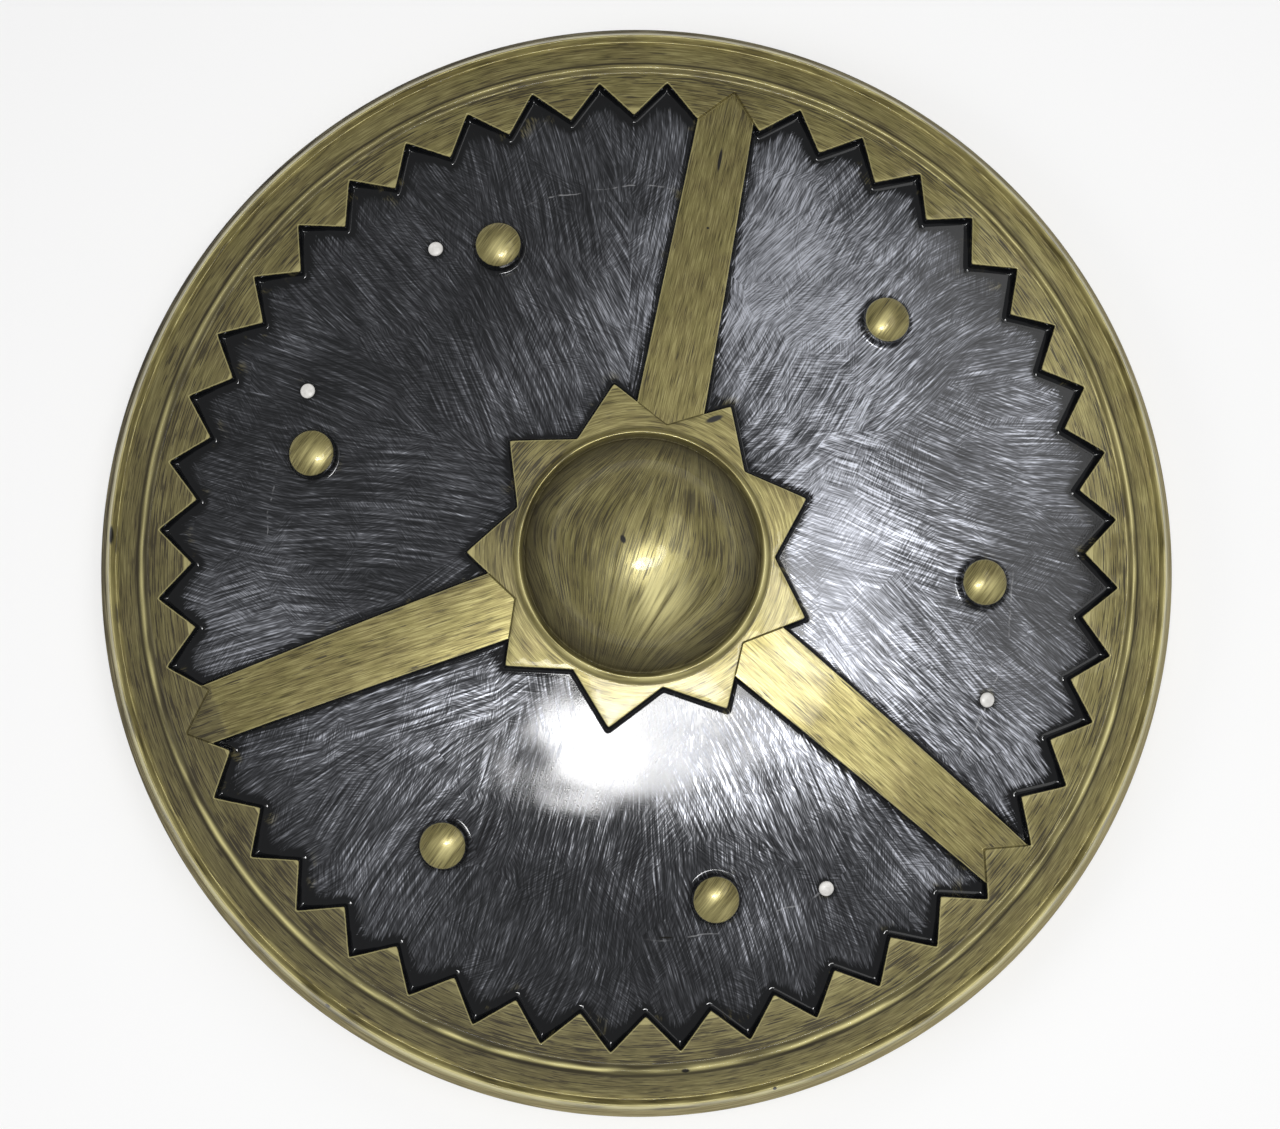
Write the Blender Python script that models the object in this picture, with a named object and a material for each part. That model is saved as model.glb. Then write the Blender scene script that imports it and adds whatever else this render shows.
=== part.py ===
"""Viking costume shield, moulded from one thin plastic sheet, lying on its rim.

The sheet is a shallow dome. On it stand a toothed rim band between two round beads, three bars,
a nine-point star, a ringed boss and six studs, all moulded in one and hollow behind. Four plastic
rivets hold a grip strap and an arm strap inside the dish. Metres, +Z up through the boss.
"""

from math import asin, ceil, cos, pi, radians, sin, sqrt

import bmesh
import bpy
import numpy as np
from mathutils import Matrix, Vector
from mathutils.geometry import delaunay_2d_cdt

# Sheet and dome
EDGE_RADIUS = 0.2500        # outer edge of the skirt, which rests on the ground
OUT_OF_ROUND = 0.009        # share by which the soft moulding is taller and narrower at its edge
SHEET = 0.0015              # thickness of the moulded sheet
DOME_RADIUS = 0.850         # curvature of the field
EDGE_HEIGHT = 0.0019        # height of the field's curve where it would meet the edge
FIELD_TOP = EDGE_HEIGHT + DOME_RADIUS - sqrt(DOME_RADIUS ** 2 - EDGE_RADIUS ** 2)
GAP = 0.0003                # clearance between pieces that touch

# Rim from the edge inwards: skirt, outer bead, channel, inner bead, toothed band
SKIRT_FLARE = 0.0046
OUTER_BEAD_WIDTH = 0.0048
OUTER_BEAD_HEIGHT = 0.0040
CHANNEL_WIDTH = 0.0098
INNER_BEAD_WIDTH = 0.0064
INNER_BEAD_HEIGHT = 0.0030
BAND_WIDTH = 0.0046         # from the inner bead to the roots of the teeth
BAND_STEP = 0.0062          # band and channel above the field
TEETH = 44
TOOTH_LENGTH = 0.0161
FIRST_ROOT_ANGLE = 4.9      # degrees from +X
TOOTH_DRAFT = 0.0012        # how far the foot of a wall stands out past its top edge
OUTER_BEAD_RADIUS = EDGE_RADIUS - SKIRT_FLARE - OUTER_BEAD_WIDTH / 2
INNER_BEAD_RADIUS = OUTER_BEAD_RADIUS - OUTER_BEAD_WIDTH / 2 - CHANNEL_WIDTH - INNER_BEAD_WIDTH / 2
TOOTH_ROOT_RADIUS = INNER_BEAD_RADIUS - INNER_BEAD_WIDTH / 2 - BAND_WIDTH
TOOTH_TIP_RADIUS = TOOTH_ROOT_RADIUS - TOOTH_LENGTH

# Boss: a round ring with a dome inside it
RING_RADIUS = 0.0570
RING_WIDTH = 0.0050
RING_HEIGHT = 0.0044
BOSS_FOOT_RADIUS = RING_RADIUS - RING_WIDTH
BOSS_RISE = 0.0410

# Star plate round the ring
STAR_POINTS = 9
STAR_ANGLE = 59.1           # one of its points, degrees from +X
STAR_REACH = 0.0208         # its points past the ring
STAR_LEDGE = 0.0020         # its inner corners past the ring
STAR_STEP = 0.0052
STAR_DRAFT = 0.0012
STAR_TIP_RADIUS = RING_RADIUS + STAR_REACH
STAR_CORNER_RADIUS = RING_RADIUS + STAR_LEDGE

# Bars from the star to the band
BAR_ANGLES = (78.9, 199.6, 320.7)
BAR_RIM_WIDTH = 0.0258
BAR_STAR_WIDTH = 0.0300
BAR_STEP = 0.0034
BAR_DRAFT = 0.0012

# Studs
STUD_ANGLES = (43.9, 114.7, 162.7, 235.4, 282.4, 355.9)
STUD_INSET = 0.0482         # from the tooth tips to the circle of the studs
STUD_CIRCLE_RADIUS = TOOTH_TIP_RADIUS - STUD_INSET
STUD_RADIUS = 0.0102
STUD_DRAFT = 0.0026         # how far a stud's foot spreads past its cap
STUD_FOOT_RADIUS = STUD_RADIUS + STUD_DRAFT
STUD_WALL_HEIGHT = 0.0078
STUD_CAP_RISE = 0.0038

# Rivets and straps
RIVET_INSET = 0.0343        # from the tooth tips to the circle of the rivets
RIVET_CIRCLE_RADIUS = TOOTH_TIP_RADIUS - RIVET_INSET
RIVET_HEAD_RADIUS = 0.0034
RIVET_HEAD_RISE = 0.0014
RIVET_SHANK_RADIUS = 0.0018
RIVET_BACK_RADIUS = 0.0042
RIVET_BACK_RISE = 0.0012
STRAPS = {"grip": (123.7, 153.5), "arm": (299.5, 338.0)}    # angles of the rivets of each
STRAP_WIDTH = 0.0240
STRAP_THICKNESS = 0.0016
STRAP_LOOP = 0.0140         # how far the middle of a strap stands off the sheet
STRAP_TAB = 0.0110          # from a rivet to the end of its strap
STRAP_PAD = 0.0080          # flat length between a rivet and the loop

# Fineness of the faceted surfaces
RIM_SIDES = 2 * TEETH
FIELD_RING_SPACING = 0.030
BOSS_SIDES = 32
BOSS_RINGS = 6
STUD_SIDES = 14
RIVET_SIDES = 8
STRAP_STATIONS = 16
POINT_CLEARANCE = 0.004     # free points of the field keep this far from walls
STRAP_PROBE = 0.0001        # step along a strap over which its direction is read
MERGE = 1e-7                # plan points closer than this are one

FIRST_ROOT = radians(FIRST_ROOT_ANGLE)


def clear_scene():
    """Remove every object and unused mesh and material."""
    for obj in list(bpy.data.objects):
        bpy.data.objects.remove(obj, do_unlink=True)
    for mesh in list(bpy.data.meshes):
        bpy.data.meshes.remove(mesh)
    for material in list(bpy.data.materials):
        bpy.data.materials.remove(material)


def make_material(name, colour, roughness, metallic=0.0):
    """A Principled material of one colour."""
    material = bpy.data.materials.new(name)
    material.use_nodes = True
    shader = material.node_tree.nodes["Principled BSDF"]
    shader.inputs["Base Color"].default_value = (*colour, 1.0)
    shader.inputs["Roughness"].default_value = roughness
    shader.inputs["Metallic"].default_value = metallic
    material.diffuse_color = (*colour, 1.0)
    return material


def add_object(name, mesh, material, smooth_angle=30.0):
    """Put a mesh in the scene under a node's name, smooth but for its sharp edges."""
    mesh.materials.append(material)
    mesh.shade_smooth()
    mesh.set_sharp_from_angle(angle=radians(smooth_angle))
    obj = bpy.data.objects.new(name, mesh)
    bpy.context.scene.collection.objects.link(obj)
    return obj


def out_of_round(x, y):
    """Move a point of the round design to its place on the real, slightly oval moulding."""
    pull = OUT_OF_ROUND * (x * x + y * y) / EDGE_RADIUS ** 2
    return x * (1 - pull), y * (1 + pull)


def dome(radius):
    """Height of the field's outer face."""
    return FIELD_TOP - (DOME_RADIUS - np.sqrt(DOME_RADIUS ** 2 - np.square(radius)))


def offset_profile(points, depth):
    """Shift a turned profile, from outside to middle, down into the material with mitred corners."""
    points = np.array(points, dtype=float)
    run = np.diff(points, axis=0)
    run /= np.linalg.norm(run, axis=1)[:, None]
    inward = np.stack([-run[:, 1], run[:, 0]], axis=1)
    before = np.vstack([inward[:1], inward])
    after = np.vstack([inward, inward[-1:]])
    mitre = (before + after) / (1 + np.sum(before * after, axis=1))[:, None]
    return points + depth * mitre


def bead(crest_radius, width, height, base):
    """Profile points of a round bead, outer foot first."""
    turns = (-0.5, -0.25, 0.0, 0.25, 0.5)
    return [(crest_radius - turn * width, base + height * cos(pi * turn)) for turn in turns]


def rim_profile(depth):
    """Radius and height of the turned rim, from the edge to the middle of the shield."""
    outer = bead(OUTER_BEAD_RADIUS, OUTER_BEAD_WIDTH, OUTER_BEAD_HEIGHT, BAND_STEP)
    inner = bead(INNER_BEAD_RADIUS, INNER_BEAD_WIDTH, INNER_BEAD_HEIGHT, BAND_STEP)
    relief = outer + inner + [(TOOTH_ROOT_RADIUS, BAND_STEP), (TOOTH_TIP_RADIUS / 2, BAND_STEP)]
    points = [(EDGE_RADIUS, 0.0)] + [(r, float(dome(r)) + h) for r, h in relief]
    moved = offset_profile(points, depth)
    skirt = (moved[1] - moved[0]) / (moved[1][1] - moved[0][1])
    moved[0] -= skirt * moved[0][1]
    return moved


def boss_profile(depth):
    """Radius and height above the field of the ring and its dome, outside first."""
    ring = bead(RING_RADIUS - RING_WIDTH / 2, RING_WIDTH, RING_HEIGHT, STAR_STEP)
    ball = (BOSS_FOOT_RADIUS ** 2 + BOSS_RISE ** 2) / (2 * BOSS_RISE)
    widest = asin(BOSS_FOOT_RADIUS / ball)
    dome_points = []
    for step in range(BOSS_RINGS + 1):
        turn = widest * (1 - step / BOSS_RINGS)
        dome_points.append((ball * sin(turn), STAR_STEP + BOSS_RISE - ball * (1 - cos(turn))))
    moved = offset_profile(ring[:-1] + dome_points, depth)
    moved[-1][0] = 0.0
    return moved


def stud_profile(depth):
    """Radius and height above the field of a stud, foot first."""
    points = [
        (STUD_FOOT_RADIUS, 0.0),
        (STUD_RADIUS + 0.3 * (STUD_FOOT_RADIUS - STUD_RADIUS), 0.25 * STUD_WALL_HEIGHT),
        (STUD_RADIUS, STUD_WALL_HEIGHT),
        (0.72 * STUD_RADIUS, STUD_WALL_HEIGHT + 0.68 * STUD_CAP_RISE),
        (0.0, STUD_WALL_HEIGHT + STUD_CAP_RISE),
    ]
    moved = offset_profile(points, depth)
    moved[0] = (STUD_FOOT_RADIUS - depth / 2, -depth)
    moved[-1] = (0.0, points[-1][1] - depth)
    return moved


def zigzag(tip_radius, foot_radius, count, shift):
    """Tip and foot radii of a ring of pointed shapes whose sides move by shift to the middle."""
    half = pi / count
    along = np.array([foot_radius * cos(half) - tip_radius, foot_radius * sin(half)])
    along /= np.linalg.norm(along)
    normal = np.array([-along[1], along[0]])
    level = tip_radius * normal[0] + shift
    return level / normal[0], level / (normal[0] * cos(half) + normal[1] * sin(half))


def fold(angle, first, count):
    """Angle to the nearest of count directions spread evenly from the first."""
    pitch = 2 * pi / count
    return np.abs((angle - first + pitch / 2) % pitch - pitch / 2)


def side_distance(radius, angle, tip_radius, foot_radius, count, first_tip):
    """Distance from the side of a pointed shape, positive towards the middle of the shield."""
    half = pi / count
    along = np.array([foot_radius * cos(half) - tip_radius, foot_radius * sin(half)])
    along /= np.linalg.norm(along)
    turn = fold(angle, first_tip, count)
    level = tip_radius * -along[1]
    return -along[1] * radius * np.cos(turn) + along[0] * radius * np.sin(turn) - level


def band_distance(radius, angle):
    """Distance into the toothed band from its zigzag edge."""
    first_tip = FIRST_ROOT + pi / TEETH
    return -side_distance(radius, angle, TOOTH_TIP_RADIUS, TOOTH_ROOT_RADIUS, TEETH, first_tip)


def star_distance(radius, angle):
    """Distance into the star from its edge."""
    first_tip = radians(STAR_ANGLE)
    return side_distance(radius, angle, STAR_TIP_RADIUS, STAR_CORNER_RADIUS, STAR_POINTS, first_tip)


def bar_half_width(along):
    """Half the width of a bar's top, at a distance from the middle of the shield."""
    share = (along - STAR_TIP_RADIUS) / (TOOTH_TIP_RADIUS - STAR_TIP_RADIUS)
    return (BAR_STAR_WIDTH + (BAR_RIM_WIDTH - BAR_STAR_WIDTH) * share) / 2


def bar_distance(radius, angle):
    """Distance into the nearest bar from its side."""
    nearest = np.full(np.shape(radius), -1.0)
    for direction in BAR_ANGLES:
        turn = angle - radians(direction)
        along = radius * np.cos(turn)
        inside = bar_half_width(along) - np.abs(radius * np.sin(turn))
        nearest = np.maximum(nearest, np.where(along > 0, inside, -1.0))
    return nearest


def plate(distance, height, draft, depth):
    """Height of a flat-topped plate above the field, with a drafted wall at its edge."""
    return -depth + height * np.clip(1 + (distance - depth) / draft, 0, 1)


def stud_centres():
    """Places of the studs in the round design."""
    angles = np.radians(STUD_ANGLES)
    return STUD_CIRCLE_RADIUS * np.stack([np.cos(angles), np.sin(angles)], axis=1)


def turned_height(radius, profile, outside):
    """Height of a turned profile at a radius, and a given height outside it."""
    order = np.argsort(profile[:, 0])
    height = np.interp(radius, profile[order, 0], profile[order, 1])
    return np.where(radius <= profile[0, 0], height, outside)


def face_height(x, y, depth):
    """Height of the sheet's outer face, or of its inner face when depth is its thickness."""
    radius = np.hypot(x, y)
    angle = np.arctan2(y, x)
    field = dome(radius)
    rim = turned_height(radius, rim_profile(depth), -1.0) - field
    wall = np.clip(1 + (band_distance(radius, angle) - depth) / TOOTH_DRAFT, 0, 1)
    relief = -depth + (rim + depth) * wall
    relief = np.maximum(relief, plate(bar_distance(radius, angle), BAR_STEP, BAR_DRAFT, depth))
    relief = np.maximum(relief, plate(star_distance(radius, angle), STAR_STEP, STAR_DRAFT, depth))
    relief = np.maximum(relief, turned_height(radius, boss_profile(depth), -depth))
    for cx, cy in stud_centres():
        away = np.hypot(x - cx, y - cy)
        relief = np.maximum(relief, turned_height(away, stud_profile(depth), -depth))
    return field + relief


def circle(radius, sides, first=0.0, centre=(0.0, 0.0)):
    """Points round a circle."""
    angles = first + 2 * pi * np.arange(sides) / sides
    return np.stack([centre[0] + radius * np.cos(angles), centre[1] + radius * np.sin(angles)], axis=1)


def pointed_loop(tip_radius, foot_radius, count, first_tip):
    """Points round a ring of pointed shapes, tips and feet in turn."""
    angles = first_tip + pi * np.arange(2 * count) / count
    radii = np.where(np.arange(2 * count) % 2 == 0, tip_radius, foot_radius)
    return np.stack([radii * np.cos(angles), radii * np.sin(angles)], axis=1)


def plan_loops(depth):
    """Closed loops of the plan: every line where the face bends."""
    loops = [circle(radius, RIM_SIDES, FIRST_ROOT) for radius, height in rim_profile(depth)[:-2]]
    first_tip = FIRST_ROOT + pi / TEETH
    star_tip = radians(STAR_ANGLE)
    for shift in (depth, depth - TOOTH_DRAFT):
        tip, root = zigzag(TOOTH_TIP_RADIUS, TOOTH_ROOT_RADIUS, TEETH, -shift)
        loops.append(pointed_loop(tip, root, TEETH, first_tip))
    for shift in (depth, depth - STAR_DRAFT):
        tip, corner = zigzag(STAR_TIP_RADIUS, STAR_CORNER_RADIUS, STAR_POINTS, shift)
        loops.append(pointed_loop(tip, corner, STAR_POINTS, star_tip))
    loops += [circle(radius, BOSS_SIDES) for radius, height in boss_profile(depth)[:-1]]
    for centre in stud_centres():
        loops += [circle(radius, STUD_SIDES, 0.0, centre) for radius, height in stud_profile(depth)[:-1]]
    return loops


def bar_lines(depth):
    """Open lines of the plan: the top edge and the foot of each side of each bar."""
    start = STAR_CORNER_RADIUS
    end = (TOOTH_ROOT_RADIUS + TOOTH_TIP_RADIUS) / 2
    stations = np.linspace(start, end, ceil((end - start) / FIELD_RING_SPACING) + 1)
    lines = []
    for direction in np.radians(BAR_ANGLES):
        for side in (-1, 1):
            for shift in (depth, depth - BAR_DRAFT):
                across = side * (bar_half_width(stations) - shift)
                x = stations * cos(direction) - across * sin(direction)
                y = stations * sin(direction) + across * cos(direction)
                lines.append(np.stack([x, y], axis=1))
    return lines


def field_points():
    """Free points that carry the field's curve between the walls."""
    points = [np.array([[0.0, 0.0]]), stud_centres()]
    rings = np.arange(STAR_CORNER_RADIUS, TOOTH_ROOT_RADIUS, FIELD_RING_SPACING) + FIELD_RING_SPACING / 2
    for radius in rings:
        ring = circle(radius, TEETH, FIRST_ROOT)
        spot = (np.hypot(ring[:, 0], ring[:, 1]), np.arctan2(ring[:, 1], ring[:, 0]))
        free = np.abs(bar_distance(*spot)) > POINT_CLEARANCE
        free &= -band_distance(*spot) > POINT_CLEARANCE
        free &= -star_distance(*spot) > POINT_CLEARANCE
        for centre in stud_centres():
            away = np.hypot(*(ring - centre).T)
            free &= away > STUD_FOOT_RADIUS + POINT_CLEARANCE
        points.append(ring[free])
    return np.vstack(points)


def face_mesh(depth):
    """Points and triangles of one face of the sheet, from its plan lines and its height."""
    points = [field_points()]
    edges = []
    count = len(points[0])
    for closed, lines in ((True, plan_loops(depth)), (False, bar_lines(depth))):
        for line in lines:
            size = len(line)
            steps = size if closed else size - 1
            edges += [(count + k, count + (k + 1) % size) for k in range(steps)]
            points.append(line)
            count += size
    plan = [Vector(point) for point in np.vstack(points)]
    flat, _, triangles, *_ = delaunay_2d_cdt(plan, edges, [], 0, MERGE)
    xy = np.array([tuple(point) for point in flat])
    z = face_height(xy[:, 0], xy[:, 1], depth)
    z[np.hypot(xy[:, 0], xy[:, 1]) > rim_profile(depth)[0, 0] - 100 * MERGE] = 0.0
    x, y = out_of_round(xy[:, 0], xy[:, 1])
    return np.stack([x, y, z], axis=1), triangles


def make_shell(material):
    """The moulded sheet: its outer face, its inner face and the cut edge that joins them."""
    bm = bmesh.new()
    for depth in (0.0, SHEET):
        points, triangles = face_mesh(depth)
        verts = [bm.verts.new(point) for point in points]
        for triangle in triangles:
            corners = [verts[k] for k in triangle]
            bm.faces.new(corners if depth == 0.0 else corners[::-1])
    rims = [edge for edge in bm.edges if edge.is_boundary]
    bmesh.ops.bridge_loops(bm, edges=rims)
    bmesh.ops.triangulate(bm, faces=[face for face in bm.faces if len(face.verts) > 3])
    bmesh.ops.recalc_face_normals(bm, faces=bm.faces)
    mesh = bpy.data.meshes.new("shield_shell")
    bm.to_mesh(mesh)
    bm.free()
    return add_object("shield_shell", mesh, material)


def rivet_frame(angle):
    """Place of a rivet on the outer face, with its axis square to the field."""
    direction = radians(angle)
    lean = asin(RIVET_CIRCLE_RADIUS / DOME_RADIUS)
    x, y = out_of_round(RIVET_CIRCLE_RADIUS * cos(direction), RIVET_CIRCLE_RADIUS * sin(direction))
    place = Matrix.Translation((x, y, float(dome(RIVET_CIRCLE_RADIUS))))
    return place @ Matrix.Rotation(direction, 4, "Z") @ Matrix.Rotation(lean, 4, "Y")


def turned_mesh(name, profile, sides):
    """A closed turned solid from a profile that starts and ends on its axis, top first."""
    bm = bmesh.new()
    rings = []
    for radius, height in profile:
        if radius == 0.0:
            rings.append([bm.verts.new((0, 0, height))])
        else:
            spots = circle(radius, sides)
            rings.append([bm.verts.new((x, y, height)) for x, y in spots])
    for upper, lower in zip(rings, rings[1:]):
        for k in range(sides):
            ring = [upper[k % len(upper)], lower[k % len(lower)]]
            ring += [lower[(k + 1) % len(lower)], upper[(k + 1) % len(upper)]]
            bm.faces.new(list(dict.fromkeys(ring)))
    bmesh.ops.recalc_face_normals(bm, faces=bm.faces)
    mesh = bpy.data.meshes.new(name)
    bm.to_mesh(mesh)
    bm.free()
    return mesh


def rivet_profile():
    """Head on the outer face, shank through sheet and strap, clinched end behind the strap."""
    behind = -(SHEET + STRAP_THICKNESS + 2 * GAP)
    return [
        (0.0, GAP + RIVET_HEAD_RISE),
        (0.62 * RIVET_HEAD_RADIUS, GAP + 0.78 * RIVET_HEAD_RISE),
        (RIVET_HEAD_RADIUS, GAP + 0.2 * RIVET_HEAD_RISE),
        (RIVET_HEAD_RADIUS, GAP),
        (RIVET_SHANK_RADIUS, GAP),
        (RIVET_SHANK_RADIUS, behind),
        (RIVET_BACK_RADIUS, behind),
        (RIVET_BACK_RADIUS, behind - 0.4 * RIVET_BACK_RISE),
        (0.7 * RIVET_BACK_RADIUS, behind - RIVET_BACK_RISE),
        (0.0, behind - RIVET_BACK_RISE),
    ]


def strap_centre_line(pair, along, across):
    """Point of a strap's middle plane: on the inner face, pushed off it by the loop."""
    first, second = np.radians(pair)
    middle = (first + second) / 2
    half_span = RIVET_CIRCLE_RADIUS * sin((second - first) / 2)
    base = RIVET_CIRCLE_RADIUS * cos((second - first) / 2) + across
    x = base * cos(middle) - along * sin(middle)
    y = base * sin(middle) + along * cos(middle)
    reach = half_span - STRAP_PAD
    loop = np.where(np.abs(along) < reach, STRAP_LOOP * (1 + np.cos(pi * along / reach)) / 2, 0)
    lean = asin(RIVET_CIRCLE_RADIUS / DOME_RADIUS)
    off = SHEET + GAP + STRAP_THICKNESS / 2 + loop
    outward = np.array([sin(lean) * cos(middle), sin(lean) * sin(middle), cos(lean)])
    surface = np.stack([x, y, dome(np.hypot(x, y))], axis=-1)
    return surface - off[..., None] * outward


def strap_stations(pair):
    """Distances along a strap, close together in its round ends, and its half width at each."""
    first, second = np.radians(pair)
    half_length = RIVET_CIRCLE_RADIUS * sin((second - first) / 2) + STRAP_TAB
    corner = STRAP_WIDTH / 3
    turns = np.linspace(0, pi / 2, 5)
    end = half_length - corner * (1 - np.sin(turns))
    width = STRAP_WIDTH / 2 - corner * (1 - np.cos(turns))
    middle = np.linspace(-(half_length - corner), half_length - corner, STRAP_STATIONS)
    along = np.concatenate([-end[:0:-1], middle, end[1:]])
    half = np.concatenate([width[:0:-1], np.full(STRAP_STATIONS, STRAP_WIDTH / 2), width[1:]])
    return along, half


def make_strap(name, pair, material):
    """A flat plastic strap with round-cornered ends, looped off the inner face."""
    along, half = strap_stations(pair)
    corners = []
    for side in (-1, 1):
        centre = strap_centre_line(pair, along, side * half)
        ahead = strap_centre_line(pair, along + STRAP_PROBE, side * half)
        behind = strap_centre_line(pair, along - STRAP_PROBE, side * half)
        corners.append((centre, ahead - behind))
    across = corners[1][0] - corners[0][0]
    run = corners[0][1] + corners[1][1]
    normal = np.cross(across, run)
    normal /= np.linalg.norm(normal, axis=1)[:, None]
    bm = bmesh.new()
    sections = []
    for k in range(len(along)):
        section = []
        for side, lift in ((0, 1), (1, 1), (1, -1), (0, -1)):
            x, y, z = corners[side][0][k] + lift * normal[k] * STRAP_THICKNESS / 2
            x, y = out_of_round(x, y)
            section.append(bm.verts.new((x, y, z)))
        sections.append(section)
    for before, after in zip(sections, sections[1:]):
        for k in range(4):
            bm.faces.new([before[k], before[(k + 1) % 4], after[(k + 1) % 4], after[k]])
    bm.faces.new(sections[0][::-1])
    bm.faces.new(sections[-1])
    bmesh.ops.recalc_face_normals(bm, faces=bm.faces)
    mesh = bpy.data.meshes.new(name)
    bm.to_mesh(mesh)
    bm.free()
    return add_object(name, mesh, material, 50.0)


def add_hole(obj, cutter):
    """Cut a rivet's hole in a piece."""
    hole = obj.modifiers.new(cutter.name, "BOOLEAN")
    hole.operation = "DIFFERENCE"
    hole.object = cutter


def make_cutter(name, angle):
    """A round bar through the sheet and the strap at a rivet."""
    reach = 4 * (SHEET + STRAP_THICKNESS)
    radius = RIVET_SHANK_RADIUS + GAP
    mesh = turned_mesh(name, [(0.0, reach), (radius, reach), (radius, -reach), (0.0, -reach)], RIVET_SIDES)
    cutter = bpy.data.objects.new(name, mesh)
    bpy.context.scene.collection.objects.link(cutter)
    cutter.matrix_world = rivet_frame(angle)
    cutter.hide_render = True
    cutter.display_type = "WIRE"
    return cutter


def build():
    """Make every piece of the shield."""
    clear_scene()
    sheet_plastic = make_material("sheet_plastic", (0.03, 0.03, 0.033), 0.35)
    rivet_plastic = make_material("rivet_plastic", (0.55, 0.55, 0.53), 0.4)
    strap_plastic = make_material("strap_plastic", (0.02, 0.02, 0.022), 0.55)
    shell = make_shell(sheet_plastic)
    for piece, pair in STRAPS.items():
        strap = make_strap(f"{piece}_strap", pair, strap_plastic)
        for number, angle in enumerate(pair, 1):
            mesh = turned_mesh(f"{piece}_rivet_{number}", rivet_profile(), RIVET_SIDES)
            rivet = add_object(f"{piece}_rivet_{number}", mesh, rivet_plastic, 40.0)
            rivet.matrix_world = rivet_frame(angle)
            cutter = make_cutter(f"{piece}_hole_{number}", angle)
            add_hole(shell, cutter)
            add_hole(strap, cutter)


build()
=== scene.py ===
# %% [markdown]
# # A costume shield of moulded plastic
#
# The real object is one thin sheet of black plastic, drawn over a mould. A rim with two round
# beads and a ring of teeth, three bars, a nine-point star, a boss and six studs all stand up from
# it. The raised parts are painted antique gold, and the field between them is brushed with silver.
# This lesson builds it as surfaces worked out from a few sizes, so each curve has a formula.

from math import asin, atan, cos, pi, radians, sin, sqrt, tan

import bpy
import numpy as np
from mathutils import Matrix, Vector
from mathutils.geometry import delaunay_2d_cdt


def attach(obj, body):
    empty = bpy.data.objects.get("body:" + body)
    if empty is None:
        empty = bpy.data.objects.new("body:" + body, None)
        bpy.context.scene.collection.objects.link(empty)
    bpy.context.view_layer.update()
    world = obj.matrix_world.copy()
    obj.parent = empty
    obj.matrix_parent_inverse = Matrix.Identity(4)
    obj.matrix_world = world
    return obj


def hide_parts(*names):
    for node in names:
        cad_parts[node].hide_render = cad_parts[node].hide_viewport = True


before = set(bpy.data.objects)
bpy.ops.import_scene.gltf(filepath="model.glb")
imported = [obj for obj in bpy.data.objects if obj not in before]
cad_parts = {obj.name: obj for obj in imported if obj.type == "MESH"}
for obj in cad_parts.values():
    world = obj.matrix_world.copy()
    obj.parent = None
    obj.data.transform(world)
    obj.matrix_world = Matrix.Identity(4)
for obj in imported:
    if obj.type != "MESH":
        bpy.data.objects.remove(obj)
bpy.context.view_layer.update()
print("frame nodes:", ", ".join(sorted(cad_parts)))

# %% [markdown]
# ## Camera
#
# The photograph looks almost straight down on the boss. The small lean was found from how far the
# boss and the studs stand off their own feet, and a long lens keeps the rim nearly round. The
# camera points at a spot just beside the origin, which centres the shield without any shift.

# %% Camera
CAMERA_PLACE = (-0.023, -0.080, 0.997)
CAMERA_AIM = (0.0002, -0.0009, 0.0)
LENS = 60.8


def turn_to(place, target):
    """Rotation that points local -Z from a place to a target, with local Y towards +Y."""
    back = (Vector(place) - Vector(target)).normalized()
    side = Vector((0.0, 1.0, 0.0)).cross(back).normalized()
    return Matrix((side, back.cross(side), back)).transposed().to_euler()


camera = bpy.data.objects.new("camera", bpy.data.cameras.new("camera"))
camera.data.lens = LENS
camera.data.clip_start = 0.05
camera.location = CAMERA_PLACE
camera.rotation_euler = turn_to(CAMERA_PLACE, CAMERA_AIM)
bpy.context.scene.collection.objects.link(camera)
bpy.context.scene.camera = camera
print(f"camera {Vector(CAMERA_PLACE).length * 1000:.0f} mm from the origin")

# %% [markdown]
# ## Light
#
# Large soft lamps hang over the lower and the right part of the shield. Their mirror images are the
# white patch under the star, with a lobe at its lower left, and the paler ones to its right. The
# left of the dome mirrors nothing but a dim sky and stays dark. Two low panels only fill: they
# light the floor and the sides, and aren't mirrored at all.

# %% Light
LAMPS = {
    "lamp_below": ((0.03, -0.41, 1.95), (0.62, 0.44), 18, 12.5),
    "lamp_lobe": ((-0.15, -0.455, 1.95), (0.46, 0.28), 0, 5.8),
    "lamp_between": ((0.42, -0.34, 1.95), (0.56, 0.34), 25, 4.4),
    "lamp_right": ((0.63, -0.02, 1.95), (0.36, 0.46), 8, 3.8),
    "lamp_far_right": ((1.30, 0.50, 1.70), (0.80, 1.90), 0, 4.4),
    "panel_left": ((-2.10, -0.30, 0.80), (1.00, 1.20), 0, 9.0),
    "panel_top": ((0.20, 2.25, 0.75), (1.20, 1.00), 0, 9.0),
}
SKY = 0.25

for name, (place, size, roll, power) in LAMPS.items():
    lamp = bpy.data.lights.new(name, "AREA")
    lamp.shape = "ELLIPSE"
    lamp.size, lamp.size_y = size
    lamp.energy = power
    holder = bpy.data.objects.new(name, lamp)
    holder.location = place
    facing = turn_to(place, (0.0, 0.0, 0.0)).to_matrix()
    holder.rotation_euler = (facing @ Matrix.Rotation(radians(roll), 3, "Z")).to_euler()
    holder.visible_glossy = not name.startswith("panel")
    bpy.context.scene.collection.objects.link(holder)

world = bpy.data.worlds.new("studio")
world.use_nodes = True
world.node_tree.nodes["Background"].inputs["Color"].default_value = (1.0, 1.0, 1.0, 1.0)
world.node_tree.nodes["Background"].inputs["Strength"].default_value = SKY
bpy.context.scene.world = world
bpy.context.scene.view_settings.view_transform = "Standard"
print(len(LAMPS), "lamps,", sum(values[-1] for values in LAMPS.values()), "watts")

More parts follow.
